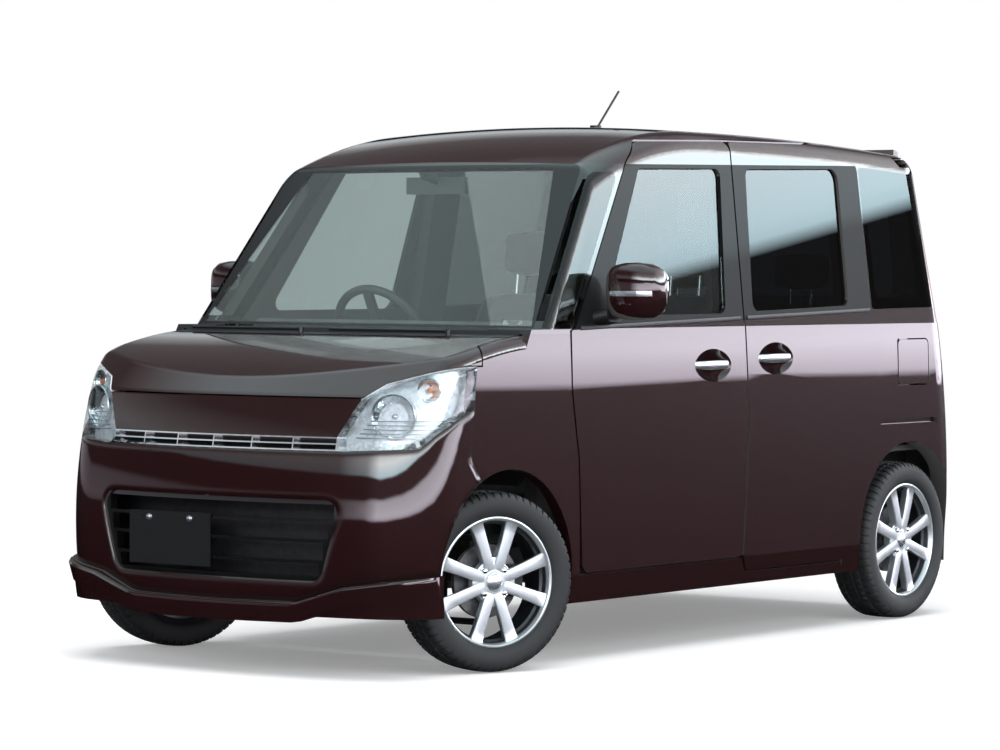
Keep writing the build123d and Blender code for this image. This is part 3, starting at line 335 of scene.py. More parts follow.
PAINT = lacquer("maroon_lacquer")
DOOR_PAINT = lacquer("maroon_lacquer_doors", banded=True)
NOSE_PAINT = lacquer("maroon_lacquer_nose", round_edge=NOSE_ROUND)
TRIM = vary(material("black_trim", BLACK, 0.4), BLACK, 0.25, 900.0, (0.34, 0.5), bump=0.00008)
GLOSS_BLACK = material("gloss_black", BLACK, 0.12, Coat_Weight=0.7, Coat_Roughness=0.03)
GLOSS_BLACK = vary(GLOSS_BLACK, BLACK, 0.2, 300.0, (0.1, 0.2))
CHROME = vary(material("chrome", CHROME_TINT, 0.06, 1.0), CHROME_TINT, 0.05, 120.0, (0.04, 0.1))
HANDLE = vary(material("satin_silver", SILVER, 0.25, 0.9), SILVER, 0.06, 900.0, (0.2, 0.3))
ALLOY = material("alloy_silver", SILVER, 0.3, 0.7, Coat_Weight=0.5)
ALLOY = vary(ALLOY, SILVER, 0.08, 1800.0, (0.28, 0.4))
STEEL = vary(material("cast_steel", IRON, 0.5, 0.8), IRON, 0.35, 60.0, (0.38, 0.65), bump=0.0003)
DARK_METAL = vary(material("underbody", SHADE, 0.6, 0.3), SHADE, 0.4, 45.0, (0.5, 0.75), bump=0.0004)
TYRE = vary(material("tyre_rubber", RUBBER, 0.7), RUBBER, 0.3, 240.0, (0.55, 0.8), bump=0.0002)
WEAVE = material("seat_cloth", CLOTH, 0.85, Sheen_Weight=0.4)
WEAVE = vary(WEAVE, CLOTH, 0.45, 1500.0, (0.75, 0.95), bump=0.0006)
CABIN_MAT = vary(material("cabin_grain", CABIN, 0.6), CABIN, 0.3, 1100.0, (0.5, 0.72), bump=0.0003)
LINING_MAT = vary(material("lining", LINING, 0.85), LINING, 0.12, 700.0, (0.75, 0.92), bump=0.0003)
BULB = vary(material("amber_bulb", AMBER, 0.15, Coat_Weight=1.0), AMBER, 0.2, 80.0, (0.1, 0.2))
CLEAR = glass("clear_glass", DOOR_TINT)
SCREEN = glass("screen_glass", SCREEN_TINT, SCREEN_EDGE)
PRIVACY = glass("privacy_glass", PRIVACY_TINT, PRIVACY_EDGE)
LENS = clear_cover("lamp_lens")
HOUSING = vary(material("lamp_housing", REFLECTOR, 0.3, 0.25), REFLECTOR, 0.1, 40.0, (0.2, 0.35))
DARK_ALLOY = vary(material("barrel_alloy", BARREL, 0.4, 0.6), BARREL, 0.2, 60.0, (0.35, 0.5))
RED_LENS = lamp_bands("rear_lamp")

LOOKS = {
    NOSE_PAINT: "front_bumper",
    PAINT: "roof fenders nose_panel air_dam side_skirts quarter_panels fuel_flap "
           "tailgate spoiler rear_bumper bonnet mirror_left mirror_right",
    DOOR_PAINT: "front_door_left front_door_right sliding_doors",
    GLOSS_BLACK: "front_pillars lower_grille",
    TRIM: "cowl wipers antenna inner_mirror front_plate rear_plate",
    CLEAR: "front_side_glass front_door_glass_left front_door_glass_right",
    SCREEN: "windscreen",
    PRIVACY: "quarter_glass sliding_door_glass tailgate_glass",
    LENS: "headlamps",
    RED_LENS: "tail_lamps",
    CHROME: "upper_grille",
    LINING_MAT: "side_frames",
    CABIN_MAT: "floor dashboard steering_wheel",
    WEAVE: "front_seats rear_seat",
    DARK_METAL: "engine front_subframe rear_axle knuckle_left knuckle_right hinges",
    STEEL: "exhaust",
    TYRE: "tyre_front_left tyre_front_right tyre_rear_left tyre_rear_right",
    ALLOY: "rim_front_left rim_front_right rim_rear_left rim_rear_right",
}
for look, names in LOOKS.items():
    for name in names.split():
        slots = NODES[name].data.materials
        slots.clear()
        slots.append(look)


class Form:
    """Points and faces gathered for one piece."""

    def __init__(self):
        self.points = []
        self.faces = []

    def loft(self, rings, ring_closed=True, wrap=False, caps=False):
        """Skin over rings of equal count."""
        base, count = len(self.points), len(rings[0])
        for ring in rings:
            self.points.extend(Vector(p) for p in ring)
        spans = len(rings) if wrap else len(rings) - 1
        for i in range(spans):
            low, high = base + i * count, base + (i + 1) % len(rings) * count
            for j in range(count if ring_closed else count - 1):
                k = (j + 1) % count
                self.faces.append((low + j, low + k, high + k, high + j))
        if caps:
            self.faces.append(tuple(range(base, base + count)))
            last = base + (len(rings) - 1) * count
            self.faces.append(tuple(range(last, last + count)))
        return self

    def lathe(self, profile, turns=64, middle=(0, 0)):
        """Turn a profile of (x, radius) about the X direction through (y, z)."""
        y, z = middle
        rings = []
        for i in range(turns):
            c, s = cos(i * tau / turns), sin(i * tau / turns)
            rings.append([(x, y + r * c, z + r * s) for x, r in profile])
        return self.loft(rings, ring_closed=False, wrap=True)

    def tube(self, points, radius, sides=12):
        """Round bar through points, closed at its ends."""
        circle = [(radius * cos(k * tau / sides), radius * sin(k * tau / sides), 0) for k in range(sides)]
        rings = []
        for i, point in enumerate(points):
            ahead = Vector(points[min(i + 1, len(points) - 1)]) - Vector(points[max(i - 1, 0)])
            turn = ahead.to_track_quat("Z", "Y")
            rings.append([Vector(point) + turn @ Vector(spot) for spot in circle])
        return self.loft(rings, caps=True)

    def moved(self, matrix, start=0):
        """Carry the points, from one on, by a matrix."""
        self.points[start:] = [matrix @ p for p in self.points[start:]]
        return self

    def piece(self, name, body, slot, look, sharp=38):
        """Make the object, riding on a body."""
        mesh = bpy.data.meshes.new(name)
        mesh.from_pydata([tuple(p) for p in self.points], [], self.faces)
        work = bmesh.new()
        work.from_mesh(mesh)
        bmesh.ops.remove_doubles(work, verts=work.verts, dist=0.00002)
        bmesh.ops.recalc_face_normals(work, faces=work.faces)
        work.to_mesh(mesh)
        work.free()
        mesh.materials.append(look)
        made = bpy.data.objects.new(name, mesh)
        scene.collection.objects.link(made)
        mesh.shade_smooth()
        mesh.set_sharp_from_angle(angle=radians(sharp))
        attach(made, body)
        return made


def hit(node, start, direction):
    """Where a ray meets a CAD node, in the frame of the car."""
    found, point = NODES[node].ray_cast(Vector(start), Vector(direction).normalized())[:2]
    return point if found else None


def from_front(node, x, z):
    """Where a CAD node is first met from ahead of the car."""
    return hit(node, (x, -3, z), (0, 1, 0))


def from_back(node, x, z):
    """Where a CAD node is first met from behind the car."""
    return hit(node, (x, 3, z), (0, -1, 0))


def from_side(node, side, y, z):
    """Where a CAD node is first met from one side of the car."""
    return hit(node, (side * 2, y, z), (-side, 0, 0))


def steps(low, high, spans):
    """Even places from low to high."""
    return [low + (high - low) * i / spans for i in range(spans + 1)]


def rounded_ring(half_a, half_b, power, count):
    """Points of a soft rectangle as (a, b)."""
    ring = []
    for i in range(count):
        c, s = cos(i * tau / count), sin(i * tau / count)
        ring.append((half_a * abs(c) ** (2 / power) * (1 if c > 0 else -1),
                     half_b * abs(s) ** (2 / power) * (1 if s > 0 else -1)))
    return ring


def facing_out(side):
    """Turn of a form made for the left side so that it faces out on either side."""
    return Matrix.Rotation(0 if side > 0 else pi, 4, "Z")


# Half of the tyre's section as (x, radius), then cuts across its tread as (share of a pitch, cut)
TREAD = [
    (-0.0660, 0.2010), (-0.0740, 0.2070), (-0.0800, 0.2200), (-0.0822, 0.2360), (-0.0815, 0.2500),
    (-0.0790, 0.2610), (-0.0745, 0.2700), (-0.0670, 0.2760), (-0.0600, 0.2785), (-0.0420, 0.2800),
    (-0.0400, 0.2735), (-0.0340, 0.2735), (-0.0320, 0.2805), (-0.0140, 0.2810), (-0.0120, 0.2740),
    (-0.0060, 0.2740), (-0.0040, 0.2810),
]
TREAD = TREAD + [(-x, r) for x, r in reversed(TREAD)]
TREAD_CUTS = ((0.0, 0), (0.70, 0), (0.74, 1), (0.96, 1))
TREAD_PITCHES = 62
TREAD_CUT = 0.0045
TREAD_LEAN = 0.5
TREAD_MIDDLE = 0.04
SHOULDER_R = 0.269
SHOULDER_X = 0.041
RIB_X = (0.013, 0.033)

# Rim: lip and hub as (x, radius), spokes as (radius, half width, face), webs as (radius, half width, face)
RIM_LIP = [(0.0560, 0.1900), (0.0600, 0.1905), (0.0640, 0.1930), (0.0690, 0.1950), (0.0715, 0.1990),
           (0.0705, 0.2030), (0.066, 0.2045)]
RIM_HUB = [(0.020, 0.050), (0.050, 0.055), (0.0565, 0.050), (0.0590, 0.044), (0.0600, 0.034),
           (0.0600, 0.0305), (0.0580, 0.0295)]
RIM_BARREL = [(-0.070, 0.203), (-0.068, 0.2035), (-0.060, 0.188), (-0.010, 0.184), (0.020, 0.1845),
              (0.026, 0.1800), (0.034, 0.1800), (0.040, 0.1870), (0.058, 0.1905)]
SPOKE = ((0.026, 0.018, 0.0585), (0.050, 0.0185, 0.0610), (0.080, 0.0185, 0.0620), (0.120, 0.0190, 0.0622),
         (0.160, 0.0205, 0.0618), (0.186, 0.0225, 0.0612), (0.1935, 0.0255, 0.0640))
SPOKE_PAIRS = 4
SPOKE_SPREAD = radians(19.5)
SPOKE_DEEP = 0.030
SPOKE_TAPER = 0.72
WEB_IN_PAIR = ((0.030, 0.010, 0.0585), (0.060, 0.0130, 0.0575), (0.076, 0.0115, 0.0540))
WEB_BETWEEN = ((0.030, 0.016, 0.0585), (0.052, 0.024, 0.0560), (0.068, 0.022, 0.0500))

# Cap, nuts and brake disc as (x, radius)
HUB_CAP = [(0.052, 0.0300), (0.0600, 0.0300), (0.0622, 0.0285), (0.0628, 0.0262), (0.0618, 0.0250),
           (0.0628, 0.0238), (0.0645, 0.0150), (0.0652, 0.0002)]
NUT = [(0.046, 0.0098), (0.0625, 0.0095), (0.0650, 0.0072), (0.0662, 0.0035), (0.0664, 0.0003)]
NUT_SEAT = [(0.0570, 0.0100), (0.0575, 0.0128), (0.0560, 0.0136)]
NUT_CIRCLE_R = 0.050
BRAKE_DISC = [(-0.010, 0.024), (-0.010, 0.1150), (-0.009, 0.1160), (-0.004, 0.1160), (-0.003, 0.1100),
              (0.001, 0.1100), (0.002, 0.1160), (0.0065, 0.1160), (0.0075, 0.1150), (0.0075, 0.060),
              (0.030, 0.058), (0.034, 0.054), (0.034, 0.024)]


def tyre_form():
    """Tyre with grooves and cross cuts."""
    rings = []
    for pitch in range(TREAD_PITCHES):
        for share, cut in TREAD_CUTS:
            turn = (pitch + share) * tau / TREAD_PITCHES
            ring = []
            for x, r in TREAD:
                on_block = abs(x) > SHOULDER_X or RIB_X[0] < abs(x) < RIB_X[1]
                deep = TREAD_CUT if cut and r > SHOULDER_R and on_block else 0
                lean = turn + (abs(x) - TREAD_MIDDLE) * TREAD_LEAN
                ring.append((x, (r - deep) * cos(lean), (r - deep) * sin(lean)))
            rings.append(ring)
    return Form().loft(rings, ring_closed=False, wrap=True)


def spoke_ring(r, half, face):
    """Section of a spoke, soft at its outer edges."""
    back = face - SPOKE_DEEP
    return [(back, -half * SPOKE_TAPER, r), (face - 0.004, -half, r), (face - 0.0008, -half + 0.0022, r),
            (face, -half + 0.006, r), (face, half - 0.006, r), (face - 0.0008, half - 0.0022, r),
            (face - 0.004, half, r), (back, half * SPOKE_TAPER, r)]


def web_rings(sections, back):
    """Flat web between spokes."""
    return [[(back, -w, r), (f, -w, r), (f, w, r), (back, w, r)] for r, w, f in sections]


def rim_form():
    """Lip, paired spokes and hub of the wheel, the outer face at +X."""
    form = Form()
    form.lathe(RIM_LIP, 96)
    form.lathe(RIM_HUB, 64)
    for pair in range(SPOKE_PAIRS):
        quarter = pair * tau / SPOKE_PAIRS
        arms = [([spoke_ring(*section) for section in SPOKE], side * SPOKE_SPREAD) for side in (-1, 1)]
        arms.append((web_rings(WEB_IN_PAIR, 0.030), 0))
        arms.append((web_rings(WEB_BETWEEN, 0.026), pi / 4))
        for rings, turn in arms:
            start = len(form.points)
            form.loft(rings, caps=True)
            form.moved(Matrix.Rotation(quarter + turn, 4, "X"), start)
    return form


def nuts_form():
    """Four wheel nuts in their seats."""
    form = Form()
    for index in range(4):
        turn = pi / 4 + index * pi / 2
        middle = (NUT_CIRCLE_R * cos(turn), NUT_CIRCLE_R * sin(turn))
        form.lathe(NUT, 6, middle)
        form.lathe(NUT_SEAT, 24, middle)
    return form


def wheel(end, y, turn, side, hand):
    """One wheel, steered about its kingpin."""
    body = f"wheel_{end}_{hand}"
    spot = Matrix.Translation((side * KINGPIN_X, y, TYRE_R)) @ Matrix.Rotation(turn, 4, "Z")
    spot = spot @ Matrix.Translation((side * (TRACK_HALF - KINGPIN_X), 0, 0)) @ facing_out(side)
    rubber = tyre_form().moved(spot).piece(f"treaded_tyre_{end}_{hand}", body, "tyre", TYRE, sharp=50)
    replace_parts(rubber, f"tyre_{end}_{hand}")
    alloy = rim_form().moved(spot).piece(f"spoked_rim_{end}_{hand}", body, "alloy", ALLOY, sharp=30)
    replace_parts(alloy, f"rim_{end}_{hand}")
    barrel = Form().lathe(RIM_BARREL, 96).moved(spot)
    barrel.piece(f"rim_barrel_{end}_{hand}", body, "alloy", DARK_ALLOY)
    cap = Form().lathe(HUB_CAP, 48).moved(spot)
    cap.piece(f"hub_cap_{end}_{hand}", body, "alloy", HANDLE)
    nuts_form().moved(spot).piece(f"wheel_nuts_{end}_{hand}", body, "alloy", CHROME)
    disc = Form().lathe(BRAKE_DISC, 72).moved(spot)
    disc.piece(f"brake_disc_{end}_{hand}", body, "chassis_metal", STEEL)


# Headlamp: which faces are its lens, where its main and signal reflectors sit, and their turned shapes
LENS_AIM = (0.62, -0.76, 0.20)
LENS_SPREAD = 0.42
LENS_THICK = 0.003
HOUSING_THICK = 0.002
BEAM_AIM = (0.34, -0.94, 0.02)
BEAM_AT = (0.598, -1.532, 0.800)
SIGNAL_AT = (0.668, -1.446, 0.880)
BOWL_FACETS = 28
BOWL_STEPS = 8
BOWL_R = (0.012, 0.064)
BOWL_FLOOR = -0.040
BOWL_CURVE = 10.5
FACET_WAVE = 0.03
LAMP_BEZEL = [(0.000, 0.0620), (0.004, 0.0655), (0.0055, 0.0690), (0.003, 0.0715), (-0.012, 0.0715)]
LAMP_BULB = [(-0.034, 0.0105), (-0.016, 0.0105), (-0.009, 0.0088), (-0.005, 0.0050), (-0.004, 0.0003)]
SIGNAL_DISH = [(-0.020, 0.006), (-0.018, 0.016), (-0.010, 0.026), (0.002, 0.033), (0.004, 0.036),
               (0.0, 0.038)]
SIGNAL_BULB = [(-0.020, 0.0085), (-0.004, 0.0085), (0.002, 0.0065), (0.004, 0.0003)]
FIN_START = (0.500, 0.735)
FIN_SPAN = 0.030
FIN_PITCH = 0.013
FIN_SLANT = 0.010
FIN_R = 0.0022
FIN_INSET = (0.004, 0.022)


def lamp_faces(side, facing):
    """Outer faces (facing 1), or all the others (facing -1), of one headlamp solid."""
    aim = Vector((side * LENS_AIM[0], *LENS_AIM[1:])).normalized()
    mesh = NODES["headlamps"].data
    form = Form()
    seen = {}
    for face in mesh.polygons:
        outer = face.normal.dot(aim) > LENS_SPREAD
        if face.center.x * side > 0 and outer == (facing > 0):
            loop = []
            for v in face.vertices:
                if v not in seen:
                    seen[v] = len(form.points)
                    form.points.append(mesh.vertices[v].co.copy())
                loop.append(seen[v])
            form.faces.append(tuple(loop if facing > 0 else reversed(loop)))
    return form


def thicken(made, thickness, offset):
    """Give a skin its wall."""
    wall = made.modifiers.new("thickness", "SOLIDIFY")
    wall.thickness = thickness
    wall.offset = offset


def faceted_bowl():
    """Main reflector with its pattern of facets."""
    rings = []
    for i in range(BOWL_FACETS):
        turn = i * tau / BOWL_FACETS
        ring = []
        for step, r in enumerate(steps(*BOWL_R, BOWL_STEPS)):
            wide = r * (1 + FACET_WAVE * (1 if (i + step) % 2 else -1))
            ring.append((wide * cos(turn), wide * sin(turn), BOWL_FLOOR + BOWL_CURVE * r * r))
        rings.append(ring)
    return Form().loft(rings, ring_closed=False, wrap=True)


def lamp_fins(side):
    """Bright bars behind the lower edge of the lens."""
    fins = Form()
    for row in range(5):
        z = FIN_START[1] + FIN_PITCH * row
        path = []
        for k in range(7):
            point = from_front("headlamps", side * (FIN_START[0] + FIN_SPAN * k + FIN_SLANT * row), z)
            if point:
                path.append(point + Vector((-side * FIN_INSET[0], FIN_INSET[1], 0)))
        if len(path) > 2:
            fins.tube(path, FIN_R, 8)
    return fins


def headlamp(side, hand):
    """Lens, housing, reflectors and bulbs of one headlamp."""
    body = "car_body"
    lens = lamp_faces(side, 1).piece(f"lamp_lens_{hand}", body, "lamp_lens", LENS, sharp=60)
    thicken(lens, LENS_THICK, -1)
    bowl = lamp_faces(side, -1).piece(f"lamp_housing_{hand}", body, "bright_trim", HOUSING, sharp=60)
    thicken(bowl, HOUSING_THICK, 1)
    aim = Vector((side * BEAM_AIM[0], *BEAM_AIM[1:])).to_track_quat("Z", "Y").to_matrix().to_4x4()
    spot = Matrix.Translation((side * BEAM_AT[0], *BEAM_AT[1:])) @ aim
    faceted_bowl().moved(spot).piece(f"lamp_reflector_{hand}", body, "bright_trim", CHROME, sharp=4)
    lathe_turn = Matrix.Rotation(-pi / 2, 4, "Y")
    bezel = Form().lathe(LAMP_BEZEL, 64).moved(spot @ lathe_turn)
    bezel.piece(f"lamp_bezel_{hand}", body, "bright_trim", HANDLE)
    bulb = Form().lathe(LAMP_BULB, 24).moved(spot @ lathe_turn)
    bulb.piece(f"lamp_bulb_{hand}", body, "bright_trim", HANDLE)
    nook = Matrix.Translation((side * SIGNAL_AT[0], *SIGNAL_AT[1:])) @ aim @ lathe_turn
    dish = Form().lathe(SIGNAL_DISH, 32).moved(nook)
    dish.piece(f"signal_reflector_{hand}", body, "bright_trim", CHROME, sharp=20)
    amber = Form().lathe(SIGNAL_BULB, 20).moved(nook)
    amber.piece(f"signal_bulb_{hand}", body, "lamp_lens", BULB)
    lamp_fins(side).piece(f"lamp_fins_{hand}", body, "bright_trim", HANDLE)
    return lens


lenses = [headlamp(side, hand) for side, hand in SIDES]
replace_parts(lenses[0], "headlamps")
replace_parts(lenses[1], "headlamps")
for end, y, turn in AXLES:
    for side, hand in SIDES:
        wheel(end, y, turn, side, hand)

# Grille panels
GRILLE_HALF = 0.468
GRILLE_Z = (0.697, 0.716, 0.735)
GRILLE_LINE_Z = 0.7352
NOSE_LINE_Z = 0.742
GRILLE_BACK = 0.017
GRILLE_THICK = 0.004
RIB_HIGH = 0.002
DUCT_HALF = 0.60
DUCT_Z = (0.262, 0.42, 0.580)
DUCT_Y = -1.570
DUCT_BOW = 0.30
DUCT_THICK = 0.006

# Lip: its top edge as corners of (distance from the middle, height)
LIP_LINE = ((0.0, 0.226), (0.33, 0.230), (0.50, 0.282), (0.735, 0.316))
LIP_OUT = (0.010, 0.022)
LIP_FULL_AT = 0.6

# Door handles as (y, z), their bars, and their locks as (x, radius)
DOOR_HANDLE = (0.024, 0.933)
SLIDER_HANDLE = (0.413, 0.950)
BAR_HALF = 0.108
SKIN_ABOVE = 0.075
LOCK_AT = 0.124
LOCK = [(-0.020, 0.0125), (0.0035, 0.0125), (0.0050, 0.0110), (0.0052, 0.0045), (0.0035, 0.0040),
        (0.0035, 0.0003)]

# Belt strips: ends along y, and the section as (out, up)
FRONT_STRIP = (-0.735, 0.205)
SLIDER_STRIP = (0.245, 1.075)
STRIP_UP = 0.004
STRIP_LEAST_X = 0.70
STRIP = ((-0.002, -0.007), (0.0035, -0.006), (0.0045, 0), (0.003, 0.0065), (-0.002, 0.007))

# Mirrors: middle of the housing, its sections as (x, half depth, half height, shift back), signal and glass
MIRROR_AT = (0.8325, -0.5745, 1.180)
MIRROR = ((0.742, 0.040, 0.052, 0.004), (0.750, 0.056, 0.070, 0.002), (0.768, 0.068, 0.083, 0.0),
          (0.800, 0.0735, 0.0905, 0.0), (0.840, 0.0735, 0.0915, 0.0), (0.880, 0.068, 0.0860, 0.001),
          (0.905, 0.057, 0.0730, 0.004), (0.918, 0.040, 0.0520, 0.008), (0.9245, 0.016, 0.0210, 0.010))
SIGNAL_X = (0.775, 0.915)
SIGNAL_ROWS = ((1.164, -0.0012), (1.1725, -0.0022), (1.181, -0.0012))
SIGNAL_THICK = 0.004
MIRROR_GLASS = ((1.06, -0.5035), (1.06, -0.4985), (1.0, -0.4975), (0.97, -0.4990), (0.5, -0.4990),
                (0.02, -0.4990))
FOOT_AT = (0.716, -0.600, 1.093)


def grille_back():
    """Black ribbed panel behind the bright grille frame."""
    low, middle, high = GRILLE_Z
    rings = []
    for step, x in enumerate(steps(-GRILLE_HALF, GRILLE_HALF, 48)):
        front = from_front("upper_grille", x, GRILLE_LINE_Z) or from_front("nose_panel", x, NOSE_LINE_Z)
        if not front:
            continue
        y = front.y + GRILLE_BACK + (RIB_HIGH if step % 2 else 0)
        back = y + GRILLE_THICK
        rings.append([(x, y, low), (x, y - 0.001, middle), (x, y, high), (x, back, high), (x, back, low)])
    Form().loft(rings, caps=True).piece("grille_backing", "car_body", "black_trim", GLOSS_BLACK, sharp=20)


def grille_duct():
    """Dark duct panel behind the slats of the lower grille."""
    low, middle, high = DUCT_Z
    rings = []
    for x in steps(-DUCT_HALF, DUCT_HALF, 32):
        y = DUCT_Y + DUCT_BOW * x * x
        back = y + DUCT_THICK
        bowed = y - DUCT_THICK
        rings.append([(x, y, low), (x, bowed, middle), (x, y, high), (x, back, high), (x, back, low)])
    Form().loft(rings, caps=True).piece("grille_duct", "car_body", "black_trim", DARK_METAL)


def height_on(line, reach):
    """Height at a distance on a line of (distance, height) corners."""
    for (near, low), (far, high) in zip(line, line[1:]):
        if reach <= far:
            return low + (high - low) * (reach - near) / (far - near)
    return line[-1][1]


def lip_blade():
    """Flared edge along the top of the front lip."""
    rings = []
    for x in steps(-LIP_LINE[-1][0], LIP_LINE[-1][0], 56):
        top = height_on(LIP_LINE, abs(x))
        front = from_front("air_dam", x, top - 0.012)
        if not front:
            continue
        out = LIP_OUT[0] + (LIP_OUT[1] - LIP_OUT[0]) * min(1.0, abs(x) / LIP_FULL_AT)
        section = ((0.012, 0.002), (-out * 0.7, 0.001), (-out, -0.006), (-out * 0.8, -0.018),
                   (-0.002, -0.060), (0.012, -0.060))
        rings.append([(x, front.y + back, top + up) for back, up in section])
    Form().loft(rings, caps=True).piece("lip_blade", "car_body", "body_paint", PAINT, sharp=50)


def door_handle(spot, side, node, body, name, lock_end):
    """Bright pull bar over its hollow, with a lock barrel at one end."""
    y0, z0 = spot
    skin = from_side(node, side, y0, z0 + SKIN_ABOVE).x * side
    rings = []
    for t in steps(-1, 1, 16):
        y = y0 + BAR_HALF * t
        high = 0.0155 - 0.004 * t * t
        deep = 0.0075 - 0.002 * abs(t) ** 3
        x = skin + 0.008 - 0.020 * abs(t) ** 5
        rings.append([(side * (x + deep * b), y, z0 + high * a) for a, b in rounded_ring(1, 1, 2.8, 20)])
    Form().loft(rings, caps=True).piece(f"{name}_bar", body, "bright_trim", HANDLE, sharp=60)
    place_at = Matrix.Translation((side * (skin - 0.004), y0 + lock_end * LOCK_AT, z0)) @ facing_out(side)
    Form().lathe(LOCK, 28).moved(place_at).piece(f"{name}_lock", body, "bright_trim", HANDLE)


def belt_strip(node, body, side, ends, name):
    """Rubber wiping strip along the foot of the side glass."""
    rings = []
    for y in steps(*ends, 32):
        z = BELT[0] + BELT[1] * y + STRIP_UP
        point = from_side(node, side, y, z)
        if point and point.x * side >= STRIP_LEAST_X:
            rings.append([(side * (point.x * side + out), y, z + up) for out, up in STRIP])
    Form().loft(rings, caps=True).piece(name, body, "black_trim", TRIM)


def mirror_shell(side, hand):
    """Rounded mirror housing around its solid; gives its surface for the signal strip."""
    form = Form()
    rings = []
    for x, half_y, half_z, shift in MIRROR:
        rings.append([(side * x, MIRROR_AT[1] + shift + half_y * a, MIRROR_AT[2] + half_z * b)
                      for a, b in rounded_ring(1, 1, 3.6, 36)])
    form.loft(rings, caps=True)
    shell = form.piece(f"mirror_shell_{hand}", f"front_door_{hand}", "body_paint", PAINT, sharp=70)
    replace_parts(shell, f"mirror_{hand}")
    return BVHTree.FromPolygons(form.points, form.faces)


def mirror_parts(side, hand, shell):
    """Signal strip, glass and foot of one mirror."""
    body = f"front_door_{hand}"
    rings = []
    for x in steps(*SIGNAL_X, 24):
        row = []
        for z, proud in SIGNAL_ROWS:
            point = shell.ray_cast(Vector((side * x, -3, z)), Vector((0, 1, 0)))[0]
            if point:
                row.append(point + Vector((0, proud, 0)))
        if len(row) == len(SIGNAL_ROWS):
            thick = Vector((0, SIGNAL_THICK, 0))
            rings.append(row + [row[2] + thick, row[0] + thick])
    Form().loft(rings, caps=True).piece(f"mirror_signal_{hand}", body, "lamp_lens", HANDLE, sharp=20)
    ring = rounded_ring(0.066, 0.068, 4.0, 40)
    x, z = side * MIRROR_AT[0], MIRROR_AT[2]
    rings = [[(x + a * s, y, z + b * s) for a, b in ring] for s, y in MIRROR_GLASS]
    Form().loft(rings, caps=True).piece(f"mirror_glass_{hand}", body, "bright_trim", CHROME, sharp=20)
    x, y, z = FOOT_AT
    rings = []
    for t in steps(0, 1, 5):
        wide, high = 0.058 - 0.012 * t, 0.026 - 0.002 * t
        rings.append([(side * (x + 0.050 * t), y + a * wide, z + 0.012 * t + b * high)
                      for a, b in rounded_ring(1, 1, 3.0, 24)])
    Form().loft(rings, caps=True).piece(f"mirror_foot_{hand}", body, "black_trim", TRIM)


grille_duct()
lip_blade()
grille_back()
for side, hand in SIDES:
    door = f"front_door_{hand}"
    door_handle(DOOR_HANDLE, side, door, door, f"front_handle_{hand}", 1)
    door_handle(SLIDER_HANDLE, side, "sliding_doors", "car_body", f"slider_handle_{hand}", -1)
    belt_strip(door, door, side, FRONT_STRIP, f"front_belt_strip_{hand}")
    belt_strip("sliding_doors", "car_body", side, SLIDER_STRIP, f"slider_belt_strip_{hand}")
    mirror_parts(side, hand, mirror_shell(side, hand))

# Plate bolts as (x, radius), and details of the tail
BOLT = [(0.0, 0.0105), (0.0022, 0.0105), (0.0030, 0.0085), (0.0075, 0.0080), (0.0086, 0.0062),
        (0.0088, 0.0003)]
BOLT_SHARES = (0.25, 0.75)
BOLT_DOWN = 0.020
PULL_HALF = 0.300
PULL_DEEP = 0.010
MARK_X = (0.480, 0.590)
MARK_Z = 0.440


def plate_bolts():
    """Two bolts at the head of the front plate."""
    form = Form()
    low, high = [Vector(v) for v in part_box("front_plate")]
    for share in BOLT_SHARES:
        start = len(form.points)
        form.lathe(BOLT, 12)
        spot = Matrix.Translation((low.x + (high.x - low.x) * share, low.y, high.z - BOLT_DOWN))
        form.moved(spot @ Matrix.Rotation(-pi / 2, 4, "Z"), start)
    form.piece("plate_bolts", "car_body", "bright_trim", HANDLE)


def tail_details():
    """Pull bar over the rear plate, and the reflectors in the bumper."""
    plate_top = Vector(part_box("rear_plate")[1]).z
    rings = []
    for x in steps(-PULL_HALF, PULL_HALF, 24):
        back = from_back("tailgate", x, plate_top + 0.045)
        if not back:
            continue
        deep = PULL_DEEP * (1 - abs(x / PULL_HALF) ** 6)
        section = ((-0.003, 0.030), (deep, 0.034), (deep, 0.058), (deep * 0.4, 0.064), (-0.003, 0.066))
        rings.append([(x, back.y + out, plate_top + up) for out, up in section])
    Form().loft(rings, caps=True).piece("tailgate_pull", "tailgate", "bright_trim", HANDLE)
    marks = Form()
    for side in (1, -1):
        rings = []
        for x in steps(*MARK_X, 8):
            back = from_back("rear_bumper", side * x, MARK_Z)
            if back:
                section = ((-0.002, -0.018), (0.004, -0.015), (0.004, 0.015), (-0.002, 0.018))
                rings.append([(side * x, back.y + out, MARK_Z + up) for out, up in section])
        if len(rings) > 2:
            marks.loft(rings, caps=True)
    if marks.points:
        marks.piece("rear_reflectors", "car_body", "red_lens", RED_LENS)


plate_bolts()
tail_details()

# Seats: stuffing, then seams as (axis, place, depth)
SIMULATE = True
PAD_POWER = 5
PAD_CUTS = 15
PAD_FRAMES = 20
PAD_PRESSURE = 4.0
PAD_MOVE = 0.014
SEAM_WIDE = 0.009
SEAM_DEEP = 0.016
CUSHION_SEAMS = [(0, -0.135, 0.013), (0, 0.135, 0.013), (1, -0.02, 0.009), (1, 0.11, 0.009)]
BACK_SEAMS = [(0, -0.125, 0.011), (0, 0.125, 0.011), (1, -0.05, 0.008), (1, 0.09, 0.008)]
HEAD_SEAMS = [(0, -0.06, 0.005), (0, 0.06, 0.005)]
BENCH_SEAMS = [(0, 0.0, 0.012), (0, -0.24, 0.008), (0, 0.24, 0.008), (1, 0.03, 0.008)]
BENCH_BACK_SEAMS = [(0, 0.0, 0.010), (0, -0.24, 0.007), (0, 0.24, 0.007), (1, 0.05, 0.007)]
BENCH_HEAD_SEAMS = [(0, 0.0, 0.004)]
SEAT_X = 0.330
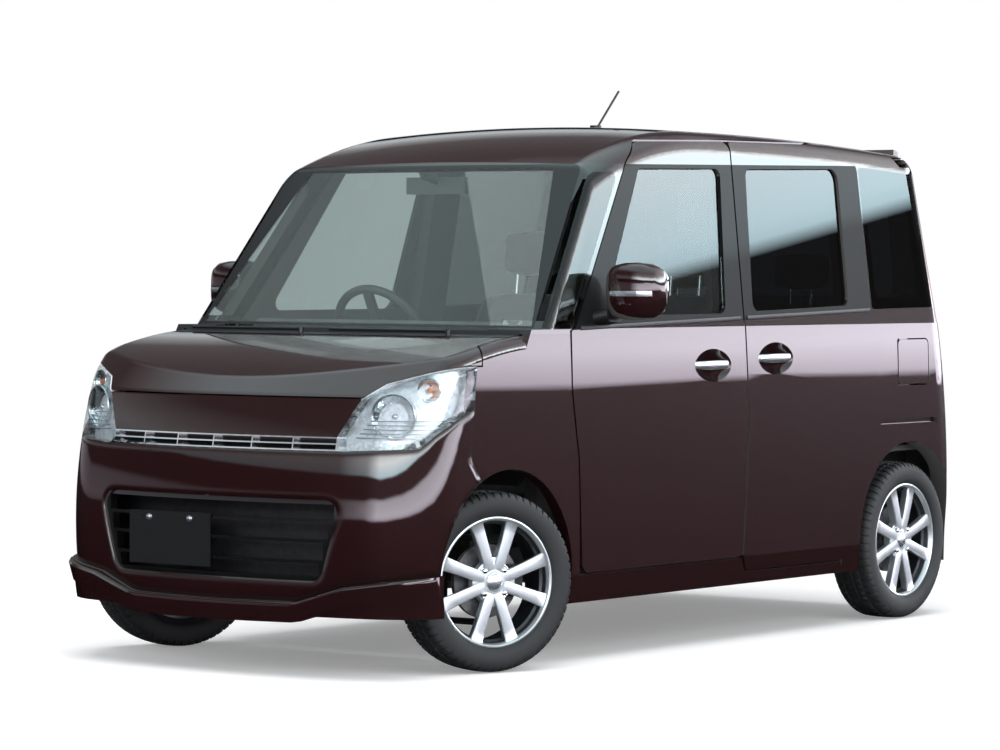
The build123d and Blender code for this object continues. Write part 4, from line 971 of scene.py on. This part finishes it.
SEAT_Y = 0.140
BENCH_HEAD_X = 0.250
FRONT_STAY = ((0.449, 1.150), (0.455, 1.200), (0.461, 1.262))
REAR_STAY = ((1.334, 1.110), (1.338, 1.160), (1.341, 1.210))
SEAT_BASE = ((0.195, 0.195, 0.283), (0.198, 0.198, 0.300), (0.170, 0.175, 0.330), (0.165, 0.172, 0.400),
             (0.205, 0.205, 0.440), (0.210, 0.210, 0.462))


def soft_box(name, half, crown):
    """Box with soft edges and a crowned top."""
    work = bmesh.new()
    bmesh.ops.create_cube(work, size=2.0)
    bmesh.ops.subdivide_edges(work, edges=work.edges[:], cuts=PAD_CUTS, use_grid_fill=True)
    for v in work.verts:
        soft = [max(abs(c), 1e-6) for c in v.co]
        q = v.co / sum(c ** PAD_POWER for c in soft) ** (1 / PAD_POWER)
        rise = 1 + crown * (1 - q.x ** 2) * (1 - q.y ** 2)
        v.co = Vector((q.x * half[0], q.y * half[1], q.z * half[2] * rise))
    mesh = bpy.data.meshes.new(name)
    work.to_mesh(mesh)
    work.free()
    return mesh


def swell(made):
    """Blow the cover up gently as cloth, with a limit on how far a point moves."""
    mesh = made.data
    start = [v.co.copy() for v in mesh.vertices]
    cloth = made.modifiers.new("stuffing", "CLOTH")
    cloth.settings.use_pressure = True
    cloth.settings.uniform_pressure_force = PAD_PRESSURE
    cloth.settings.effector_weights.gravity = 0.0
    cloth.point_cache.frame_start = 1
    cloth.point_cache.frame_end = PAD_FRAMES
    for step in range(1, PAD_FRAMES + 1):
        scene.frame_set(step)
    graph = bpy.context.evaluated_depsgraph_get()
    shaped = made.evaluated_get(graph).to_mesh()
    ends = [v.co.copy() for v in shaped.vertices]
    made.evaluated_get(graph).to_mesh_clear()
    made.modifiers.remove(cloth)
    scene.frame_set(1)
    for v, first, last in zip(mesh.vertices, start, ends):
        move = last - first
        if move.length > PAD_MOVE:
            move = move * (PAD_MOVE / move.length)
        v.co = first + move


def pad(name, middle, half, lean, crown, seams):
    """Stuffed cushion: a soft box swollen as cloth, then drawn in along its seams."""
    mesh = soft_box(name, half, crown)
    made = bpy.data.objects.new(name, mesh)
    scene.collection.objects.link(made)
    if SIMULATE:
        swell(made)
    for v in mesh.vertices:
        p = v.co
        pull = sum(depth * exp(-((p[axis] - spot) / SEAM_WIDE) ** 2) for axis, spot, depth in seams)
        if pull and p.z > -0.2 * half[2]:
            v.co = p - Vector((0, 0, min(pull, SEAM_DEEP)))
    mesh.transform(Matrix.Translation(middle) @ Matrix.Rotation(radians(lean), 4, "X"))
    mesh.materials.append(WEAVE)
    mesh.shade_smooth()
    smooth = made.modifiers.new("smooth", "SUBSURF")
    smooth.levels = smooth.render_levels = 1
    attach(made, "car_body")
    return made


def head_stays(x, gap, path, radius, name):
    """Two bright bars that carry a head rest."""
    stays = Form()
    for shift in (-gap, gap):
        stays.tube([(x + shift, y, z) for y, z in path], radius, 12)
    stays.piece(name, "car_body", "bright_trim", CHROME)


for side, hand in SIDES:
    x = side * SEAT_X
    cushion = pad(f"seat_cushion_{hand}", (x, SEAT_Y, 0.525), (0.228, 0.238, 0.082), 5, 0.10, CUSHION_SEAMS)
    rest = pad(f"seat_back_{hand}", (x, 0.408, 0.905), (0.222, 0.268, 0.048), 82, 0.14, BACK_SEAMS)
    head = pad(f"head_rest_{hand}", (x, 0.464, 1.302), (0.112, 0.076, 0.036), 83, 0.16, HEAD_SEAMS)
    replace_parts(cushion, "front_seats")
    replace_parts(rest, "front_seats")
    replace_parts(head, "front_seats")
    head_stays(x, 0.060, FRONT_STAY, 0.0065, f"head_rest_stays_{hand}")
    ring = rounded_ring(1, 1, 5.0, 28)
    rings = [[(x + a * w, SEAT_Y + b * d, z) for a, b in ring] for w, d, z in SEAT_BASE]
    base = Form().loft(rings, caps=True)
    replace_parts(base.piece(f"seat_base_{hand}", "car_body", "cabin_plastic", CABIN_MAT), "front_seats")
bench = pad("rear_cushion", (0, 1.060, 0.545), (0.470, 0.182, 0.078), 4, 0.10, BENCH_SEAMS)
bench_back = pad("rear_back", (0, 1.296, 0.880), (0.480, 0.262, 0.040), 83, 0.14, BENCH_BACK_SEAMS)
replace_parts(bench, "rear_seat")
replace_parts(bench_back, "rear_seat")
for side, hand in SIDES:
    x = side * BENCH_HEAD_X
    head = pad(f"rear_head_rest_{hand}", (x, 1.340, 1.243), (0.108, 0.062, 0.030), 84, 0.16, BENCH_HEAD_SEAMS)
    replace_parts(head, "rear_seat")
    head_stays(x, 0.045, REAR_STAY, 0.006, f"rear_head_rest_stays_{hand}")

# What the paint mirrors, as (share of the height span, colour), from dark ground to sky
SKY_SPAN = (-0.2, 0.8)
SKY = [
    (0.0, (0.03, 0.027, 0.028)), (0.190, (0.018, 0.014, 0.015)), (0.1995, (0.06, 0.035, 0.04)),
    (0.2003, (4.0, 3.6, 4.2)), (0.220, (6.6, 6.2, 7.0)), (0.285, (5.0, 4.8, 5.3)),
    (0.300, (0.06, 0.055, 0.055)), (0.384, (0.04, 0.036, 0.036)), (0.387, (6.0, 8.0, 8.8)),
    (0.44, (10.5, 11.0, 11.2)), (0.56, (1.9, 1.9, 1.95)), (0.80, (0.8, 0.85, 0.9)),
    (0.95, (0.9, 1.15, 1.2)), (1.0, (1.0, 1.3, 1.35)),
]
SOFT_LIGHT = 0.42
FLOOR_HALF = 30.0
FLOOR_GLOW = 0.26
FLOOR_FADE = (2.2, 4.6)

# Area lights as (name, place, aim, size, power)
LIGHTS = (
    ("top_box", (0.5, -0.5, 6.0), (0, 0, 0.5), (7.0, 8.0), 480),
    ("side_box", (7.0, -2.0, 3.2), (0, 0, 0.8), (6.0, 3.0), 160),
    ("front_box", (-2.5, -8.0, 3.4), (0, -1, 0.8), (5.0, 3.0), 130),
)


def stage_world():
    """White to the camera and through glass; a sky over a dark far ground in reflections."""
    world = bpy.data.worlds.new("studio")
    scene.world = world
    world.use_nodes = True
    tree = world.node_tree
    tree.nodes.clear()
    link = tree.links.new
    path = put(tree, "ShaderNodeLightPath").outputs
    where = put(tree, "ShaderNodeTexCoord")
    parts = put(tree, "ShaderNodeSeparateXYZ")
    link(where.outputs["Generated"], parts.inputs["Vector"])
    sky = put(tree, "ShaderNodeValToRGB")
    link(spanned(tree, parts.outputs["Z"], (0, 1), SKY_SPAN), sky.inputs["Fac"])
    ramp = sky.color_ramp
    while len(ramp.elements) < len(SKY):
        ramp.elements.new(0.5)
    for element, (spot, colour) in zip(ramp.elements, SKY):
        element.position = spot
        element.color = (*colour, 1)
    mirrored = put(tree, "ShaderNodeBackground")
    turned = spanned(tree, parts.outputs["X"], (0.07, 1.0), (-0.25, 0.12))
    overhead = spanned(tree, parts.outputs["Z"], (0.0, 1.0), (0.55, 0.75))
    link(sky.outputs["Color"], mirrored.inputs["Color"])
    link(calc(tree, "MAXIMUM", turned, overhead), mirrored.inputs["Strength"])
    soft = put(tree, "ShaderNodeBackground")
    soft.inputs["Color"].default_value = (*DAYLIGHT, 1)
    soft.inputs["Strength"].default_value = SOFT_LIGHT
    shown = put(tree, "ShaderNodeBackground")
    shown.inputs["Color"].default_value = (*WHITE, 1)
    lit = put(tree, "ShaderNodeMixShader")
    link(path["Is Glossy Ray"], lit.inputs["Fac"])
    link(soft.outputs["Background"], lit.inputs[1])
    link(mirrored.outputs["Background"], lit.inputs[2])
    seen = calc(tree, "MAXIMUM", path["Is Camera Ray"], path["Is Transmission Ray"])
    out = put(tree, "ShaderNodeOutputWorld").inputs["Surface"]
    picked(tree, seen, lit.outputs["Shader"], shown.outputs["Background"], out)


def stage_floor():
    """A pale floor that keeps the shadow and fades into the white background."""
    mesh = bpy.data.meshes.new("floor")
    corners = [(x * FLOOR_HALF, y * FLOOR_HALF, 0) for x, y in ((-1, -1), (1, -1), (1, 1), (-1, 1))]
    mesh.from_pydata(corners, [], [(0, 1, 2, 3)])
    ground = bpy.data.objects.new("studio_floor", mesh)
    scene.collection.objects.link(ground)
    mat = material("pale_floor", FLOOR_TINT, 0.9, Specular_IOR_Level=0.0)
    tree = mat.node_tree
    shader = tree.nodes["Principled BSDF"]
    out = tree.nodes["Material Output"].inputs["Surface"]
    path = put(tree, "ShaderNodeLightPath")
    shader.inputs["Emission Color"].default_value = (*WHITE, 1)
    glow = calc(tree, "MULTIPLY", path.outputs["Is Camera Ray"], FLOOR_GLOW)
    tree.links.new(glow, shader.inputs["Emission Strength"])
    x, y = place(tree)[:2]
    reach = calc(tree, "ADD", calc(tree, "MULTIPLY", x, x), calc(tree, "MULTIPLY", y, y))
    fade = spanned(tree, calc(tree, "POWER", reach, 0.5), (0, 1), FLOOR_FADE)
    picked(tree, fade, shader.outputs["BSDF"], see_through(tree, WHITE), out)
    mesh.materials.append(mat)
    ground.visible_glossy = False


def stage_light(name, spot, aim, size, power):
    """Area light that only lights, out of sight and out of reflections."""
    lamp = bpy.data.lights.new(name, "AREA")
    lamp.shape = "RECTANGLE"
    lamp.size, lamp.size_y = size
    lamp.energy = power
    rig = bpy.data.objects.new(name, lamp)
    scene.collection.objects.link(rig)
    rig.location = spot
    rig.rotation_euler = (Vector(aim) - Vector(spot)).to_track_quat("-Z", "Y").to_euler()
    rig.visible_glossy = False
    rig.visible_camera = False


def stage_camera():
    """The camera of the photograph."""
    level = cos(CAMERA_PITCH)
    forward = Vector((level * sin(CAMERA_YAW), level * cos(CAMERA_YAW), sin(CAMERA_PITCH)))
    right = Vector((cos(CAMERA_YAW), -sin(CAMERA_YAW), 0))
    up = right.cross(forward)
    across = right * cos(CAMERA_ROLL) + up * sin(CAMERA_ROLL)
    upward = up * cos(CAMERA_ROLL) - right * sin(CAMERA_ROLL)
    lens = bpy.data.cameras.new("camera")
    lens.lens = CAMERA_LENS
    lens.sensor_width = 36
    lens.clip_end = CAMERA_FAR
    camera = bpy.data.objects.new("camera", lens)
    scene.collection.objects.link(camera)
    turn = Matrix((across, upward, -forward)).transposed().to_4x4()
    camera.matrix_world = Matrix.Translation(CAMERA_AT) @ turn
    scene.camera = camera


stage_world()
stage_floor()
stage_camera()
for light in LIGHTS:
    stage_light(*light)
scene.view_settings.view_transform = "Standard"
